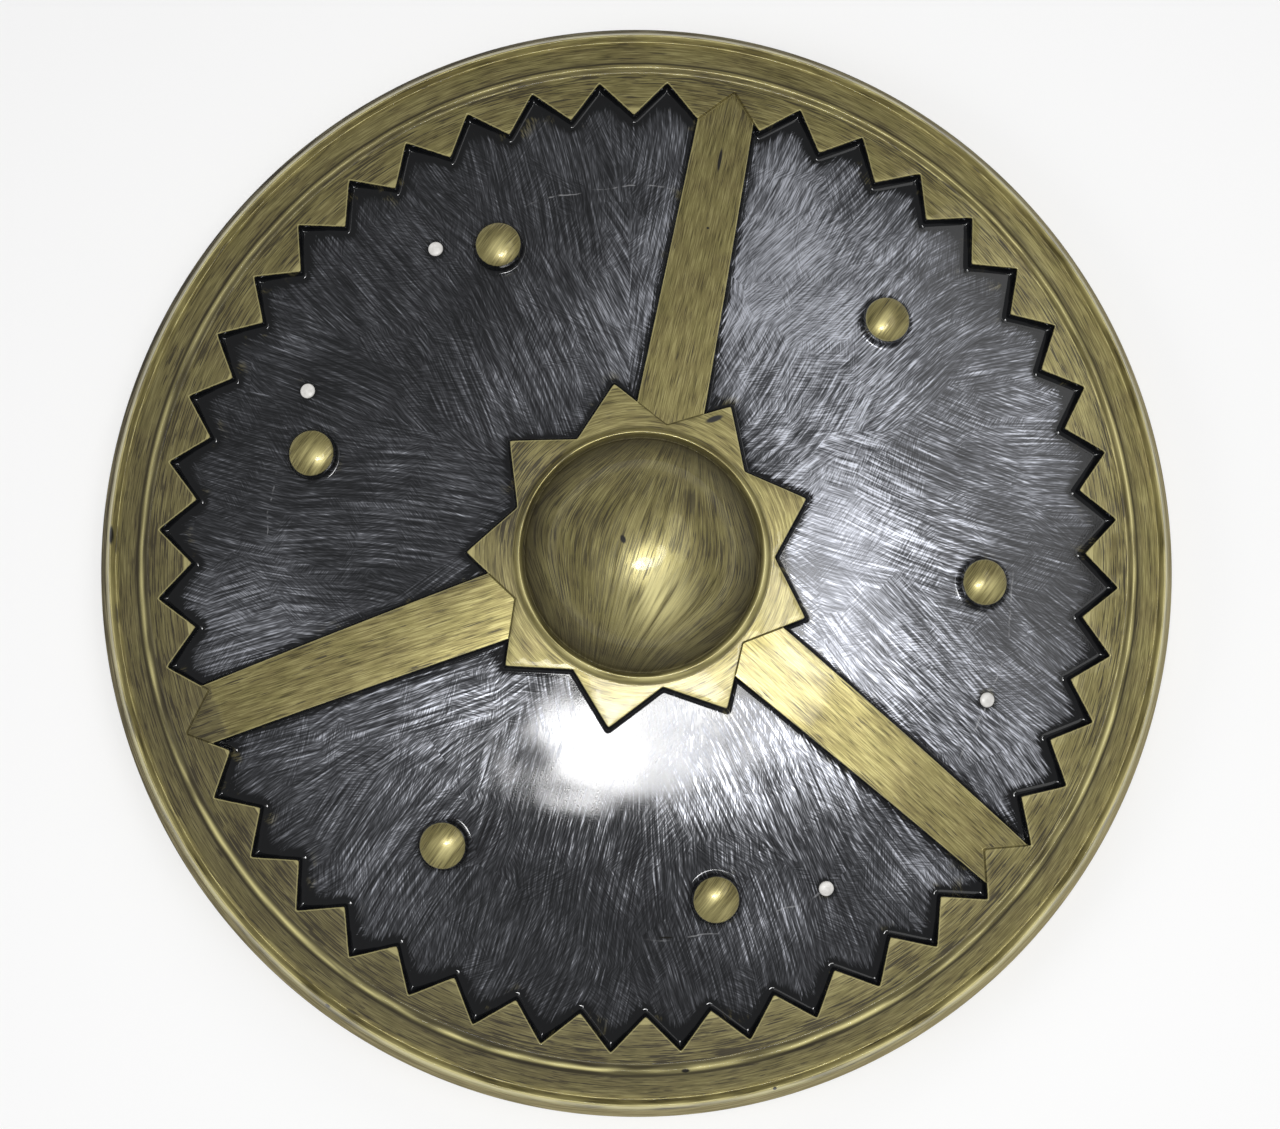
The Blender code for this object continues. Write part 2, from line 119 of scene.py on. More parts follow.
# %% [markdown]
# ## Curves that every raised part shares
#
# A vacuum-formed sheet has no sharp corners. It rounds a little over the top of each wall, and it
# bridges the foot in a wide fillet, which catches a line of light. Bevels could be cut afterwards,
# but here both are in the formula: an arc, a straight wall, and a ramp that levels it off softly.

# %% Dome, ramps and plates
EDGE_RADIUS = 0.2500
OUT_OF_ROUND = 0.009
SHEET = 0.0015
DOME_RADIUS = 0.850
EDGE_HEIGHT = 0.0019
FIELD_TOP = EDGE_HEIGHT + DOME_RADIUS - sqrt(DOME_RADIUS ** 2 - EDGE_RADIUS ** 2)
WALL_DRAFT = 0.0010
TOP_ROUND = 0.0003


def out_of_round(x, y):
    """The soft moulding is taller than wide: x shrinks and y grows by a share that rises as r²."""
    pull = OUT_OF_ROUND * (x * x + y * y) / EDGE_RADIUS ** 2
    return x * (1 - pull), y * (1 + pull)


def dome(radius):
    """Height of a ball's cap: top height less R minus the root of R² - r²."""
    return FIELD_TOP - (DOME_RADIUS - np.sqrt(DOME_RADIUS ** 2 - np.square(radius)))


def soft_ramp(x, width):
    """0 below -width and x above width, joined by the parabola (x + width)² / 4 width."""
    return np.where(x > width, x, np.square(np.clip(x + width, 0, None)) / (4 * width))


def fillet_reach(height, draft, fillet):
    """How far a fillet starts outside a wall's foot: its radius times tan of half the wall's angle."""
    return fillet * tan(atan(height / draft) / 2)


def plate(inside, height, draft, fillet, top=TOP_ROUND):
    """A flat-topped plate: an arc off the ground, a straight wall, and a soft ramp that levels it."""
    angle = atan(height / draft)
    reach = fillet_reach(height, draft, fillet)
    outside = -inside - draft
    arc = fillet - np.sqrt(fillet ** 2 - np.square(np.clip(reach - outside, 0, fillet * sin(angle))))
    wall = np.where(outside > -reach * cos(angle), arc, -outside * height / draft)
    return wall - soft_ramp(inside, top) * height / draft


def bead(away, width, height, power):
    """A round bead with a softened foot: height times a power of cos(pi t / width)."""
    share = np.clip(np.abs(away) / width, 0, 0.5)
    return height * np.cos(pi * share) ** power


print(f"dome {FIELD_TOP * 1000:.1f} mm high, {EDGE_RADIUS * 2000:.0f} mm across")

# %% [markdown]
# ## Teeth and star
#
# The toothed band and the star are both rings of points, so one formula serves both. The angle is
# folded until every point lies on one side of a single tooth, and there the edge is a straight
# line. The points are right-angled, so past a tip the distance is the root of the squares of the
# distances from both sides, and the fillet turns round the tip as a cone. The moulded tooth ring is
# not quite true to the rim, so its place is first undone by a slow wave.

# %% Rings of points
OUTER_BEAD = (0.2430, 0.0052, 0.0038, 2.0)
INNER_BEAD = (0.2276, 0.0064, 0.0027, 2.4)
BAND_STEP = 0.0062
TEETH = 44
TOOTH_ROOT = 0.2206
TOOTH_TIP = 0.2038
FIRST_ROOT = radians(4.9)
STAR_POINTS = 9
STAR_TIP = 0.0778
STAR_CORNER = 0.0590
STAR_FIRST = radians(59.1)
STAR_STEP = 0.0052
ROUND_TIPS = {TEETH: 0.9960, STAR_POINTS: 0.9990}


def fold(angle, first, count):
    """Angle to the nearest point: arccos(k cos(n a)) / n, where k just under 1 rounds the tips."""
    return np.arccos(ROUND_TIPS[count] * np.cos(count * (angle - first))) / count


def outside_points(radius, angle, tip, foot, count, first):
    """Distance outside a ring of points, from the two sides of the nearest one."""
    along = np.array([foot * cos(pi / count) - tip, foot * sin(pi / count)])
    along *= np.sign(foot - tip) / np.linalg.norm(along)
    turn = fold(angle, first, count)
    x, y = radius * np.cos(turn) - tip, radius * np.sin(turn)
    near_side = along[0] * y - along[1] * x
    far_side = -along[0] * y - along[1] * x
    past_tip = np.hypot(np.clip(near_side, 0, None), np.clip(far_side, 0, None))
    return past_tip + np.minimum(np.maximum(near_side, far_side), 0)


TEETH_SHAPE = (TOOTH_TIP, TOOTH_ROOT, TEETH, FIRST_ROOT + pi / TEETH)
STAR_SHAPE = (STAR_TIP, STAR_CORNER, STAR_POINTS, STAR_FIRST)


def tooth_drift(angle):
    """How far the moulded teeth lie outwards of their true ring, and how far they are turned."""
    outwards = 0.0006 * np.sin(2 * angle) + 0.0003 * np.sin(angle)
    sideways = 0.0004 * (np.cos(angle) + np.sin(angle)) - 0.0011 * np.sin(2 * angle) - 0.0003
    return outwards, sideways / TOOTH_ROOT


def in_band(radius, angle):
    """Distance into the toothed band from its edge."""
    outwards, turned = tooth_drift(angle)
    return -outside_points(radius - outwards, angle - turned, *TEETH_SHAPE)


def in_star(radius, angle):
    """Distance into the star from its edge."""
    return -outside_points(radius, angle, *STAR_SHAPE)


print(TEETH, "teeth and", STAR_POINTS, "star points")

# %% [markdown]
# ## Bars and studs
#
# Three tapering bars run from under the star to the band, and six studs stand between them. Each
# is described by how far a point lies inside its edge, as the star is, so the same plate formula
# raises it. A stud gets a shallow parabola on top, because its cap is domed.

# %% Bars and studs
BAR_ANGLES = (78.9, 199.6, 320.7)
BAR_WIDTHS = (0.0300, 0.0258)
BAR_STEP = 0.0034
STUD_ANGLES = np.radians((43.9, 114.7, 162.7, 235.4, 282.4, 355.9))
STUD_CIRCLE = 0.1555
STUD_RADIUS = 0.0102
STUD_WALL = 0.0078
STUD_DRAFT = 0.0011
FILLETS = {"teeth": 0.0026, "star": 0.0018, "bars": 0.0015, "studs": 0.0022}
STUD_CAP = 0.0038
STUD_CENTRES = STUD_CIRCLE * np.stack([np.cos(STUD_ANGLES), np.sin(STUD_ANGLES)], axis=1)


def bar_half_width(along):
    """Half a bar's width: a straight taper between its widths at the star and at the teeth."""
    share = (along - STAR_TIP) / (TOOTH_TIP - STAR_TIP)
    return (BAR_WIDTHS[0] + (BAR_WIDTHS[1] - BAR_WIDTHS[0]) * share) / 2


def in_bars(radius, angle):
    """Distance into each bar from its side, one row per bar."""
    turn = angle - np.radians(BAR_ANGLES)[:, None]
    along = radius * np.cos(turn)
    inside = bar_half_width(along) - np.abs(radius * np.sin(turn))
    return np.where(along > 0, inside, -1.0)


def from_studs(x, y):
    """Distance of each point from each stud's axis, one row per stud."""
    return np.hypot(x - STUD_CENTRES[:, :1], y - STUD_CENTRES[:, 1:])


def stud_relief(away, depth):
    """A steep wall with a wide fillet, and on it a cap that falls as 1 - (r / R)²."""
    radius = STUD_RADIUS - depth
    wall = plate(radius - away, STUD_WALL, STUD_DRAFT, FILLETS["studs"], 0.0005)
    return wall + STUD_CAP * np.clip(1 - np.square(away / radius), 0, None)


print(len(BAR_ANGLES), "bars and", len(STUD_CENTRES), "studs")

# %% [markdown]
# ## Rim and boss
#
# Both are turned shapes, so their height depends on the radius alone. The rim is a steep skirt, a
# bead, a channel, a second bead and the flat band. The boss is a bead round a cap of a ball that
# is nearly a half. Where two of them meet, a soft maximum or minimum leaves a small fillet.

# %% Rim and boss
SKIRT_FLARE = 0.0046
SKIRT_SLOPE = float(dome(EDGE_RADIUS - SKIRT_FLARE) + BAND_STEP) / SKIRT_FLARE
SKIRT_INSET = sqrt(1 + SKIRT_SLOPE ** 2) / SKIRT_SLOPE
SKIRT_TOP = EDGE_RADIUS - SKIRT_FLARE + 0.0004
RING = (0.0545, 0.0050, 0.0044, 1.3)
BOSS_FOOT = 0.0520
BOSS_RISE = 0.0410
BALL = (BOSS_FOOT ** 2 + BOSS_RISE ** 2) / (2 * BOSS_RISE)
BEAD_HOLLOW = 1.4
CREASE = 0.0008


def beads(radius, depth, *sizes):
    """Sum of round beads, each narrower behind the sheet than in front of it."""
    hollow = BEAD_HOLLOW * depth
    return sum(bead(radius - crest, width - hollow, height, power) for crest, width, height, power in sizes)


def boss_relief(radius, depth):
    """Height of ring and ball over the star: the soft maximum of the ball's cap and the plate."""
    cap = BOSS_RISE - BALL + depth + np.sqrt(np.clip((BALL - depth) ** 2 - np.square(radius), 0, None))
    return beads(radius, depth, RING) + soft_ramp(cap, 2 * CREASE) * (radius < BOSS_FOOT + CREASE)


def skirt(radius, depth):
    """Height of the skirt's slope, which falls to the ground at the edge."""
    return SKIRT_SLOPE * (EDGE_RADIUS - radius - SKIRT_INSET * depth)


print(f"skirt slope {SKIRT_SLOPE:.2f}, ball radius {BALL * 1000:.1f} mm")

# %% [markdown]
# ## One height for the whole sheet
#
# Every raised part gives a height over the field, and the sheet takes the highest. The back of the
# sheet is the same formula with each distance moved in by the thickness, so the walls stay hollow
# and equally thick. The skirt cuts the result off at the edge through a soft minimum.

# %% Height of the sheet


def face_height(x, y, depth):
    """Dome plus the highest relief, cut off by the skirt; depth is 0 in front, the sheet behind."""
    radius = np.hypot(x, y)
    angle = np.arctan2(y, x)
    band = plate(in_band(radius, angle) - depth, BAND_STEP, WALL_DRAFT, FILLETS["teeth"])
    band += beads(radius, depth, OUTER_BEAD, INNER_BEAD)
    bars = plate(in_bars(radius, angle) - depth, BAR_STEP, WALL_DRAFT, FILLETS["bars"]).max(axis=0)
    star = plate(in_star(radius, angle) - depth, STAR_STEP, WALL_DRAFT, FILLETS["star"])
    star += boss_relief(radius, depth)
    studs = stud_relief(from_studs(x, y), depth).max(axis=0)
    face = dome(radius) - depth + np.max([band, bars, star, studs], axis=0)
    slope = skirt(radius, depth)
    return slope - soft_ramp(slope - face, CREASE)


print(f"boss top at {face_height(np.zeros(1), np.zeros(1), 0.0)[0] * 1000:.1f} mm")

# %% [markdown]
# ## Lines that the mesh follows
#
# A plain grid would leave saw teeth on the slanted walls. Instead the mesh is planned from above:
# closed loops run along the top and foot of each wall and round each bead, and open lines run
# along the bars. Loops stand close together where the sheet bends and far apart where it is flat.

# %% Loops of the plan
RIM_COLUMNS = 8 * TEETH
TOOTH_STEPS = np.array([0, 0.02, 0.05, 0.1, 0.2, 0.36, 0.52, 0.68, 0.82, 0.92, 0.97])
TOP_LINES = np.array([1.0, 0.35, -0.35, -1.0]) * TOP_ROUND
FILLET_LINES = np.array([0.08, 0.25, 0.45, 0.65, 0.85, 1.03])
STEPS = {"teeth": BAND_STEP, "star": STAR_STEP, "bars": BAR_STEP}
BEAD_STEPS = np.array([0.5, 0.44, 0.36, 0.27, 0.18, 0.09, 0.0, -0.09, -0.18, -0.27, -0.36, -0.44, -0.5])
STUD_LINES = np.array([-0.80, -0.4, 0.0, 0.25, 0.5, 1.0, 2.0, 3.4, 4.8, 6.2, 7.6, 8.9]) / 1000
FLAT_RADII = np.array([0.2385, 0.2357, 0.2330, 0.2232])
SEARCH = {"teeth": (0.190, 0.235), "star": (0.100, 0.040)}
HALVINGS = 34
BALL_LOOPS = 27
RING_CLEAR = 0.0011
FOOT_CLEAR = 0.0002


def wall_lines(kind):
    """Distances inside a plate's edge at which its mesh has lines, from the top to the fillet's end."""
    reach = fillet_reach(STEPS[kind], WALL_DRAFT, FILLETS[kind])
    upper = reach * cos(atan(STEPS[kind] / WALL_DRAFT))
    return np.concatenate([TOP_LINES, [upper - WALL_DRAFT], -WALL_DRAFT - reach * FILLET_LINES])


def ring(radius, columns, first=0.0, centre=(0.0, 0.0)):
    """Points round a circle, or round any shape whose radius is given at each angle."""
    angle = first + 2 * pi * np.arange(columns) / columns
    return np.stack([centre[0] + radius * np.cos(angle), centre[1] + radius * np.sin(angle)], axis=1)


def contour(inside, angle, wanted, low, high):
    """Radius where a distance inside reaches a value: halve the interval from less to more."""
    low, high = np.full(len(angle), low), np.full(len(angle), high)
    for _ in range(HALVINGS):
        middle = (low + high) / 2
        less = inside(middle, angle) < wanted
        low, high = np.where(less, middle, low), np.where(less, high, middle)
    return (low + high) / 2


def pointed_loops(kind, depth):
    """Loops at each wall distance, with columns crowded at tips and roots."""
    teeth = kind == "teeth"
    inside, (_, _, count, first) = (in_band, TEETH_SHAPE) if teeth else (in_star, STAR_SHAPE)
    steps = np.unique(np.round(np.concatenate([TOOTH_STEPS, 2 - TOOTH_STEPS[1:], [1.0]]), 6))
    angle = first + ((2 * np.arange(count)[:, None] + steps) * pi / count).ravel()
    angle += tooth_drift(angle)[1] if teeth else 0
    loops = []
    for wanted in wall_lines(kind) + depth:
        radius = contour(inside, angle, wanted, *SEARCH[kind])
        loops.append(np.stack([radius * np.cos(angle), radius * np.sin(angle)], axis=1))
    return loops


def rim_radii(depth):
    """Radii of the rim's loops, from the cut edge to the flat band."""
    edge = EDGE_RADIUS - SKIRT_INSET * depth
    slope = np.linspace(edge, SKIRT_TOP, 4)
    radii = [slope]
    for crest, width, _, _ in (OUTER_BEAD, INNER_BEAD):
        radii.append(crest + BEAD_STEPS * (width - BEAD_HOLLOW * depth))
    return np.unique(np.concatenate(radii + [FLAT_RADII]))[::-1]


def boss_radii(depth):
    """Radii of the boss's loops: the ring's bead, the crease and even steps of angle up the ball."""
    crest, width, _, _ = RING
    widest = asin((BOSS_FOOT - depth) / (BALL - depth))
    cap = (BALL - depth) * np.sin(np.linspace(widest, 0, BALL_LOOPS)[:-1])
    bead_lines = crest + BEAD_STEPS * (width - BEAD_HOLLOW * depth)
    feet = [crest + width / 2 + RING_CLEAR, BOSS_FOOT + FOOT_CLEAR]
    return np.unique(np.round(np.concatenate([bead_lines, cap, feet]), 6))[::-1]


def stud_radii(depth):
    """Radii of a stud's loops, from the end of its fillet to near its axis."""
    reach = fillet_reach(STUD_WALL, STUD_DRAFT, FILLETS["studs"])
    return STUD_RADIUS - depth - np.concatenate([-STUD_DRAFT - reach * FILLET_LINES[::-1], STUD_LINES])


rim_count, boss_count = len(rim_radii(0.0)), len(boss_radii(0.0))
print(f"{len(wall_lines('teeth'))} loops a wall, {rim_count} round the rim, {boss_count} up the boss")

# %% [markdown]
# ## Rivet holes and free points
#
# The straps behind are held by four rivets, and their holes go through the sheet. Between all the
# loops lie free points on rings about 6 mm apart, which carry the dome's curve. A point too close
# to a loop would make a sliver, so those are left out.

# %% Holes and free points
RIVET_CIRCLE = 0.1694
RIVET_ANGLES = {"grip_rivet_1": 123.7, "grip_rivet_2": 153.5, "arm_rivet_1": 299.5, "arm_rivet_2": 338.0}
RIVET_LEAN = asin(RIVET_CIRCLE / DOME_RADIUS)
HOLE_RADIUS = 0.0021
HOLE_COLUMNS = 24
FIELD_STEP = 0.0058
CLEAR = 0.0012
HOLE_RINGS = (1.0, 1.25, 1.6, 2.05, 2.6)
FIELD_SPAN = (0.0605, 0.2216)
BAR_SPAN = (0.0600, 0.2222)
BAR_COLUMNS = 54
BAR_TOP_LINES = (0.0040, 0.0085)


def hole_centres(depth):
    """Centres of the rivet holes; the leaning rivets bring them inwards behind the sheet."""
    angle = np.radians(list(RIVET_ANGLES.values()))
    radius = RIVET_CIRCLE - depth * np.tan(RIVET_LEAN)
    return radius * np.stack([np.cos(angle), np.sin(angle)], axis=1)


def bar_lines(depth):
    """Open lines along each bar: its walls, and three more on each half of its top."""
    along = np.linspace(*BAR_SPAN, BAR_COLUMNS)
    lines = []
    for direction in np.radians(BAR_ANGLES):
        for inside in np.concatenate([wall_lines("bars") + depth, BAR_TOP_LINES]):
            for hand in (-1, 1):
                across = hand * (bar_half_width(along) - inside)
                x = along * cos(direction) - across * sin(direction)
                y = along * sin(direction) + across * cos(direction)
                lines.append(np.stack([x, y], axis=1))
    return lines


def free_points(depth, step):
    """Points on rings a step apart, kept where no wall, bead, stud or hole is near."""
    rings = [ring(r, max(8, int(2 * pi * r / step)), r / step) for r in np.arange(*FIELD_SPAN, step)]
    x, y = np.concatenate(rings).T
    radius, angle = np.hypot(x, y), np.arctan2(y, x)
    keep = in_bars(radius, angle).max(axis=0) < depth
    walls = [(in_band(radius, angle), "teeth"), (in_star(radius, angle), "star")]
    walls += [(inside, "bars") for inside in in_bars(radius, angle)]
    for inside, kind in walls:
        keep &= (inside > depth + CLEAR) | (inside < depth + wall_lines(kind)[-1] - CLEAR)
    keep &= (from_studs(x, y) > stud_radii(0.0)[0] + CLEAR).all(axis=0)
    away = np.hypot(x - hole_centres(depth)[:, :1], y - hole_centres(depth)[:, 1:])
    keep &= (away > HOLE_RADIUS * HOLE_RINGS[-1] + CLEAR).all(axis=0)
    return np.stack([x, y], axis=1)[keep]


print(len(free_points(0.0, FIELD_STEP)), "free points on the front")

# %% [markdown]
# ## From plan to mesh
#
# Blender's constrained Delaunay triangulation joins all the points and keeps each loop as edges.
# It works in the plan, in a fraction of a second, and also adds a vertex wherever two lines cross,
# as where a bar runs under the star. The height formula then lifts every vertex at once.

# %% Triangulate a plan
MERGE_WITHIN = 1e-7
BOSS_COLUMNS = 132
STUD_COLUMNS = 40


def net(loops, lines, free):
    """Points and triangles of a plan: loops and lines become edges, and free points fill it."""
    edges = []
    start = len(free)
    for closed, paths in ((True, loops), (False, lines)):
        for path in paths:
            number = start + np.arange(len(path))
            pairs = np.stack([number, np.roll(number, -1)], axis=1)
            edges.append(pairs if closed else pairs[:-1])
            start += len(path)
    points = np.concatenate([free, *loops, *lines])
    edges = np.concatenate(edges).tolist()
    flat, _, triangles, *_ = delaunay_2d_cdt(points.tolist(), edges, [], 0, MERGE_WITHIN)
    return np.array(flat), np.array(triangles)


def open_holes(points, triangles, centres, radius):
    """Drop the triangles whose middle lies in a hole."""
    middle = points[triangles].mean(axis=1)
    away = np.hypot(*(middle[:, None] - centres).transpose(2, 0, 1))
    return triangles[(away > radius).all(axis=1)]


def nearest(points, wanted):
    """Number of the point nearest to each wanted point."""
    gap = np.square(points[None, :, 0] - wanted[:, :1]) + np.square(points[None, :, 1] - wanted[:, 1:])
    return gap.argmin(axis=1)


def face_net(depth, thin):
    """Plan of one face of the sheet; thin above 1 leaves out columns and spreads the free points."""
    loops = [ring(r, RIM_COLUMNS // (1 if r == rim_radii(depth)[0] else thin)) for r in rim_radii(depth)]
    loops += pointed_loops("teeth", depth) + pointed_loops("star", depth)
    loops += [ring(r, BOSS_COLUMNS // thin) for r in boss_radii(depth)]
    for centre in STUD_CENTRES:
        loops += [ring(r, STUD_COLUMNS // thin, 0.0, centre) for r in stud_radii(depth)]
    for centre in hole_centres(depth):
        loops += [ring(HOLE_RADIUS * grow, HOLE_COLUMNS, 0.0, centre) for grow in HOLE_RINGS]
    free = np.vstack([[[0.0, 0.0]], STUD_CENTRES, free_points(depth, FIELD_STEP * thin)])
    points, triangles = net(loops, bar_lines(depth), free)
    return points, open_holes(points, triangles, hole_centres(depth), HOLE_RADIUS)


front_plan, front_triangles = face_net(0.0, 1)
back_plan, back_triangles = face_net(SHEET, 2)
print(len(front_triangles), "triangles in front,", len(back_triangles), "behind")

# %% [markdown]
# ## The moulded sheet
#
# The two faces are joined by strips of four-sided faces round the cut edge and down each rivet
# hole. Loops on both faces have the same number of points at the same angles, so a strip is only
# a matter of finding which vertices those are. The faces behind are turned over to look back. The
# gloss needs very even shading, so the normals also come from the formula and not from the faces.

# %% Join the two faces
SHARP_ABOVE = radians(50.0)


def strip(outer, inner):
    """Four-sided faces between two closed loops of vertex numbers."""
    return np.stack([outer, np.roll(outer, -1), np.roll(inner, -1), inner], axis=1)


def surface(plan, depth):
    """Points of a face: the height from the formula, and then the out-of-round pull."""
    x, y = out_of_round(plan[:, 0], plan[:, 1])
    return np.stack([x, y, face_height(plan[:, 0], plan[:, 1], depth)], axis=1)


def lift(plan, depth):
    """Move a plan onto its face, with the cut edge brought to the ground."""
    points = surface(plan, depth)
    edge = EDGE_RADIUS - SKIRT_INSET * depth
    points[np.hypot(plan[:, 0], plan[:, 1]) > edge - 1e-5, 2] = 0.0
    return points


def slopes(plan, depth):
    """Normals of a face, as the cross product of its two slopes over a tenth of a millimetre."""
    step = 0.00005
    run = surface(plan + [step, 0], depth) - surface(plan - [step, 0], depth)
    rise = surface(plan + [0, step], depth) - surface(plan - [0, step], depth)
    normal = np.cross(run, rise)
    return normal / np.linalg.norm(normal, axis=1)[:, None]


def sheet_strips():
    """Strips round the cut edge and the four holes, between the front's and the back's loops."""
    shift = len(front_plan)
    edges = [ring(EDGE_RADIUS - SKIRT_INSET * depth, RIM_COLUMNS) for depth in (0.0, SHEET)]
    strips = [strip(shift + nearest(back_plan, edges[1]), nearest(front_plan, edges[0]))]
    for front, back in zip(hole_centres(0.0), hole_centres(SHEET)):
        outer = nearest(front_plan, ring(HOLE_RADIUS, HOLE_COLUMNS, 0.0, front))
        inner = nearest(back_plan, ring(HOLE_RADIUS, HOLE_COLUMNS, 0.0, back))
        strips.append(strip(outer, shift + inner))
    return np.concatenate(strips)


def make_piece(name, points, *faces):
    """A mesh object at the origin from points and any number of arrays of faces."""
    mesh = bpy.data.meshes.new(name)
    mesh.from_pydata(points.tolist(), [], [face for group in faces for face in group.tolist()])
    mesh.validate()
    mesh.shade_smooth()
    mesh.set_sharp_from_angle(angle=SHARP_ABOVE)
    obj = bpy.data.objects.new(name, mesh)
    bpy.context.scene.collection.objects.link(obj)
    return obj


strips = sheet_strips()
sheet_points = np.vstack([lift(front_plan, 0.0), lift(back_plan, SHEET)])
sheet = make_piece(
    "moulded_sheet", sheet_points, front_triangles, back_triangles[:, ::-1] + len(front_plan), strips
)
sheet_normals = np.vstack([slopes(front_plan, 0.0), -slopes(back_plan, SHEET)])
corner = np.zeros(len(sheet.data.loops), int)
sheet.data.loops.foreach_get("vertex_index", corner)
corner_normals = sheet_normals[corner]
corner_normals[3 * (len(front_triangles) + len(back_triangles)):] = 0.0
sheet.data.normals_split_custom_set(corner_normals.tolist())
print(len(sheet.data.vertices), "vertices,", len(sheet.data.polygons), "faces")

# %% [markdown]
# ## Where the paint goes
#
# The paint follows the relief, so each vertex of the front carries a few numbers for the material.
# Distances in millimetres keep a paint edge crisp between vertices, which a painted mask would not.
# The brush can't reach into a fillet, so the silver stops short of every wall, and of each rivet.
# How much silver the painter put where is a base load with wide soft patches added to it. The patches are
# partly painted sheen, heaviest right of and below the star.

# %% Paint attributes: gold, silver and grime
BRUSH_GAPS = {"teeth": 4.3, "bars": 2.0, "star": 2.7, "studs": 1.4}
RIVET_CLEAR = 4.0
BRUSH_END = 0.2100
BRUSH_END_SLOPE = 700
BASE_LOAD = 0.026
# Patches of silver, partly painted sheen where the lamps light the field: direction, radius, spread, amount.
SILVER_PATCHES_AND_SHEEN = {
    "right_of_star": (8, 0.085, 0.035, 0.40),
    "right": (2, 0.130, 0.045, 0.10),
    "far_right": (20, 0.185, 0.045, 0.16),
    "above_right": (35, 0.100, 0.035, 0.15),
    "upper_right": (50, 0.150, 0.040, 0.28),
    "beside_bar": (72, 0.110, 0.035, 0.23),
    "top_right": (70, 0.165, 0.040, 0.26),
    "below_star_right": (320, 0.105, 0.040, 0.38),
    "beside_star_low": (343, 0.098, 0.030, 0.20),
    "lower_right_edge": (315, 0.180, 0.035, 0.10),
    "lower_right": (345, 0.130, 0.040, 0.06),
    "far_lower_right": (335, 0.185, 0.040, 0.17),
    "under_star": (292, 0.100, 0.028, 0.15),
    "left_foot": (222, 0.098, 0.032, 0.13),
    "lower_left": (212, 0.150, 0.040, 0.08),
    "far_left": (190, 0.180, 0.035, 0.09),
    "bottom_left": (230, 0.180, 0.035, 0.04),
    "above_star": (100, 0.105, 0.030, 0.05),
    "upper_left": (128, 0.090, 0.028, 0.03),
    "left_of_star": (165, 0.095, 0.030, 0.02),
    "bottom": (290, 0.165, 0.030, 0.05),
    "low_middle": (260, 0.125, 0.030, 0.02),
}
UPPER_RIGHT = radians(40)
RIM_FROM = 0.2030
TOOTH_FEET = 0.2222
BEADS_FROM = 0.2250
CHANNEL_TO = 0.2400
SKIRT_PAINTED_LIGHT_FROM = 0.2457
SKIRT_GRIME_FROM = 0.2462
STAR_FROM = 0.0570
POOL_WIDTH = 0.0009
FOOT_POOLS = ((INNER_BEAD, 1, 0.50), (RING, -1, 0.35), (RING, 1, 0.40))
FLANK_POOLS = ((0.2259, 0.45), (0.2296, 0.95), (0.2415, 0.35), (0.2452, 0.35))
# Bead crest lines rubbed bright, with a painted highlight on the side towards the lamps: place, width,
# strength, side, swing.
RUBBED_CRESTS_AND_HIGHLIGHTS = (
    (0.2436, 0.0018, 1.20, 300, 0.30),
    (0.2276, 0.0012, 1.35, 280, 0.45),
    (0.0549, 0.0016, 1.45, 295, 0.45),
)
# Middle of the painted highlight on the boss, below its top.
BOSS_PAINTED_HIGHLIGHT = (0.004, -0.022)


def near(value, width):
    """A soft bump: e to the minus (value / width)²."""
    return np.exp(-np.square(value / width))


def silver_load_and_sheen(x, y):
    """Silver on the brush, partly painted sheen: a base, and a soft bump for each patch at its direction and
    radius.
    """
    load_and_sheen = np.full(len(x), BASE_LOAD)
    for direction, radius, spread, amount in SILVER_PATCHES_AND_SHEEN.values():
        centre = (radius * cos(radians(direction)), radius * sin(radians(direction)))
        load_and_sheen += amount * near(np.hypot(x - centre[0], y - centre[1]), spread)
    return load_and_sheen


def brush_clearance(x, y):
    """Millimetres from the limit that a wall sets to the brush; more than 0 can be brushed."""
    radius, angle = np.hypot(x, y), np.arctan2(y, x)
    rivets = np.hypot(x - hole_centres(0.0)[:, :1], y - hole_centres(0.0)[:, 1:]).min(axis=0)
    return np.min([
        -1000 * in_band(radius, angle) - BRUSH_GAPS["teeth"],
        -1000 * in_star(radius, angle) - BRUSH_GAPS["star"],
        -1000 * in_bars(radius, angle).max(axis=0) - BRUSH_GAPS["bars"],
        1000 * (from_studs(x, y).min(axis=0) - STUD_RADIUS) - BRUSH_GAPS["studs"],
        1000 * rivets - RIVET_CLEAR,
        BRUSH_END_SLOPE * (BRUSH_END - radius),
    ], axis=0)


def low_left(angle):
    """1 at lower left and 0 at upper right, with a cosine wave between them."""
    return 0.5 - 0.5 * np.cos(angle - UPPER_RIGHT)


def grime(x, y):
    """How thickly the gold is streaked dark, from 0 to 1: the dark wash, and a rise towards the lower left
    and on the star's upper left.
    """
    radius, angle = np.hypot(x, y), np.arctan2(y, x)
    # the gold is darker towards the lower left, and the star on its upper left
    lower = low_left(angle)
    teeth = 0.36 + 0.40 * near(radius - TOOTH_FEET, 0.0024) + 0.12 * lower
    ridges = 0.14 + 0.24 * lower
    rim = np.where(radius > SKIRT_GRIME_FROM, 0.80, np.where(radius > BEADS_FROM, ridges, teeth))
    bars = 0.16 + 0.35 * near(in_bars(radius, angle).max(axis=0), 0.0016)
    star = 0.12 + 0.60 * near(angle - radians(150), 0.60)
    boss = 0.56 + 0.16 * lower * near(radius, 0.040)
    plan = np.where(radius > RIM_FROM, rim, np.where(in_star(radius, angle) > 0, star, bars))
    return np.where(radius < BOSS_FOOT, boss, plan)


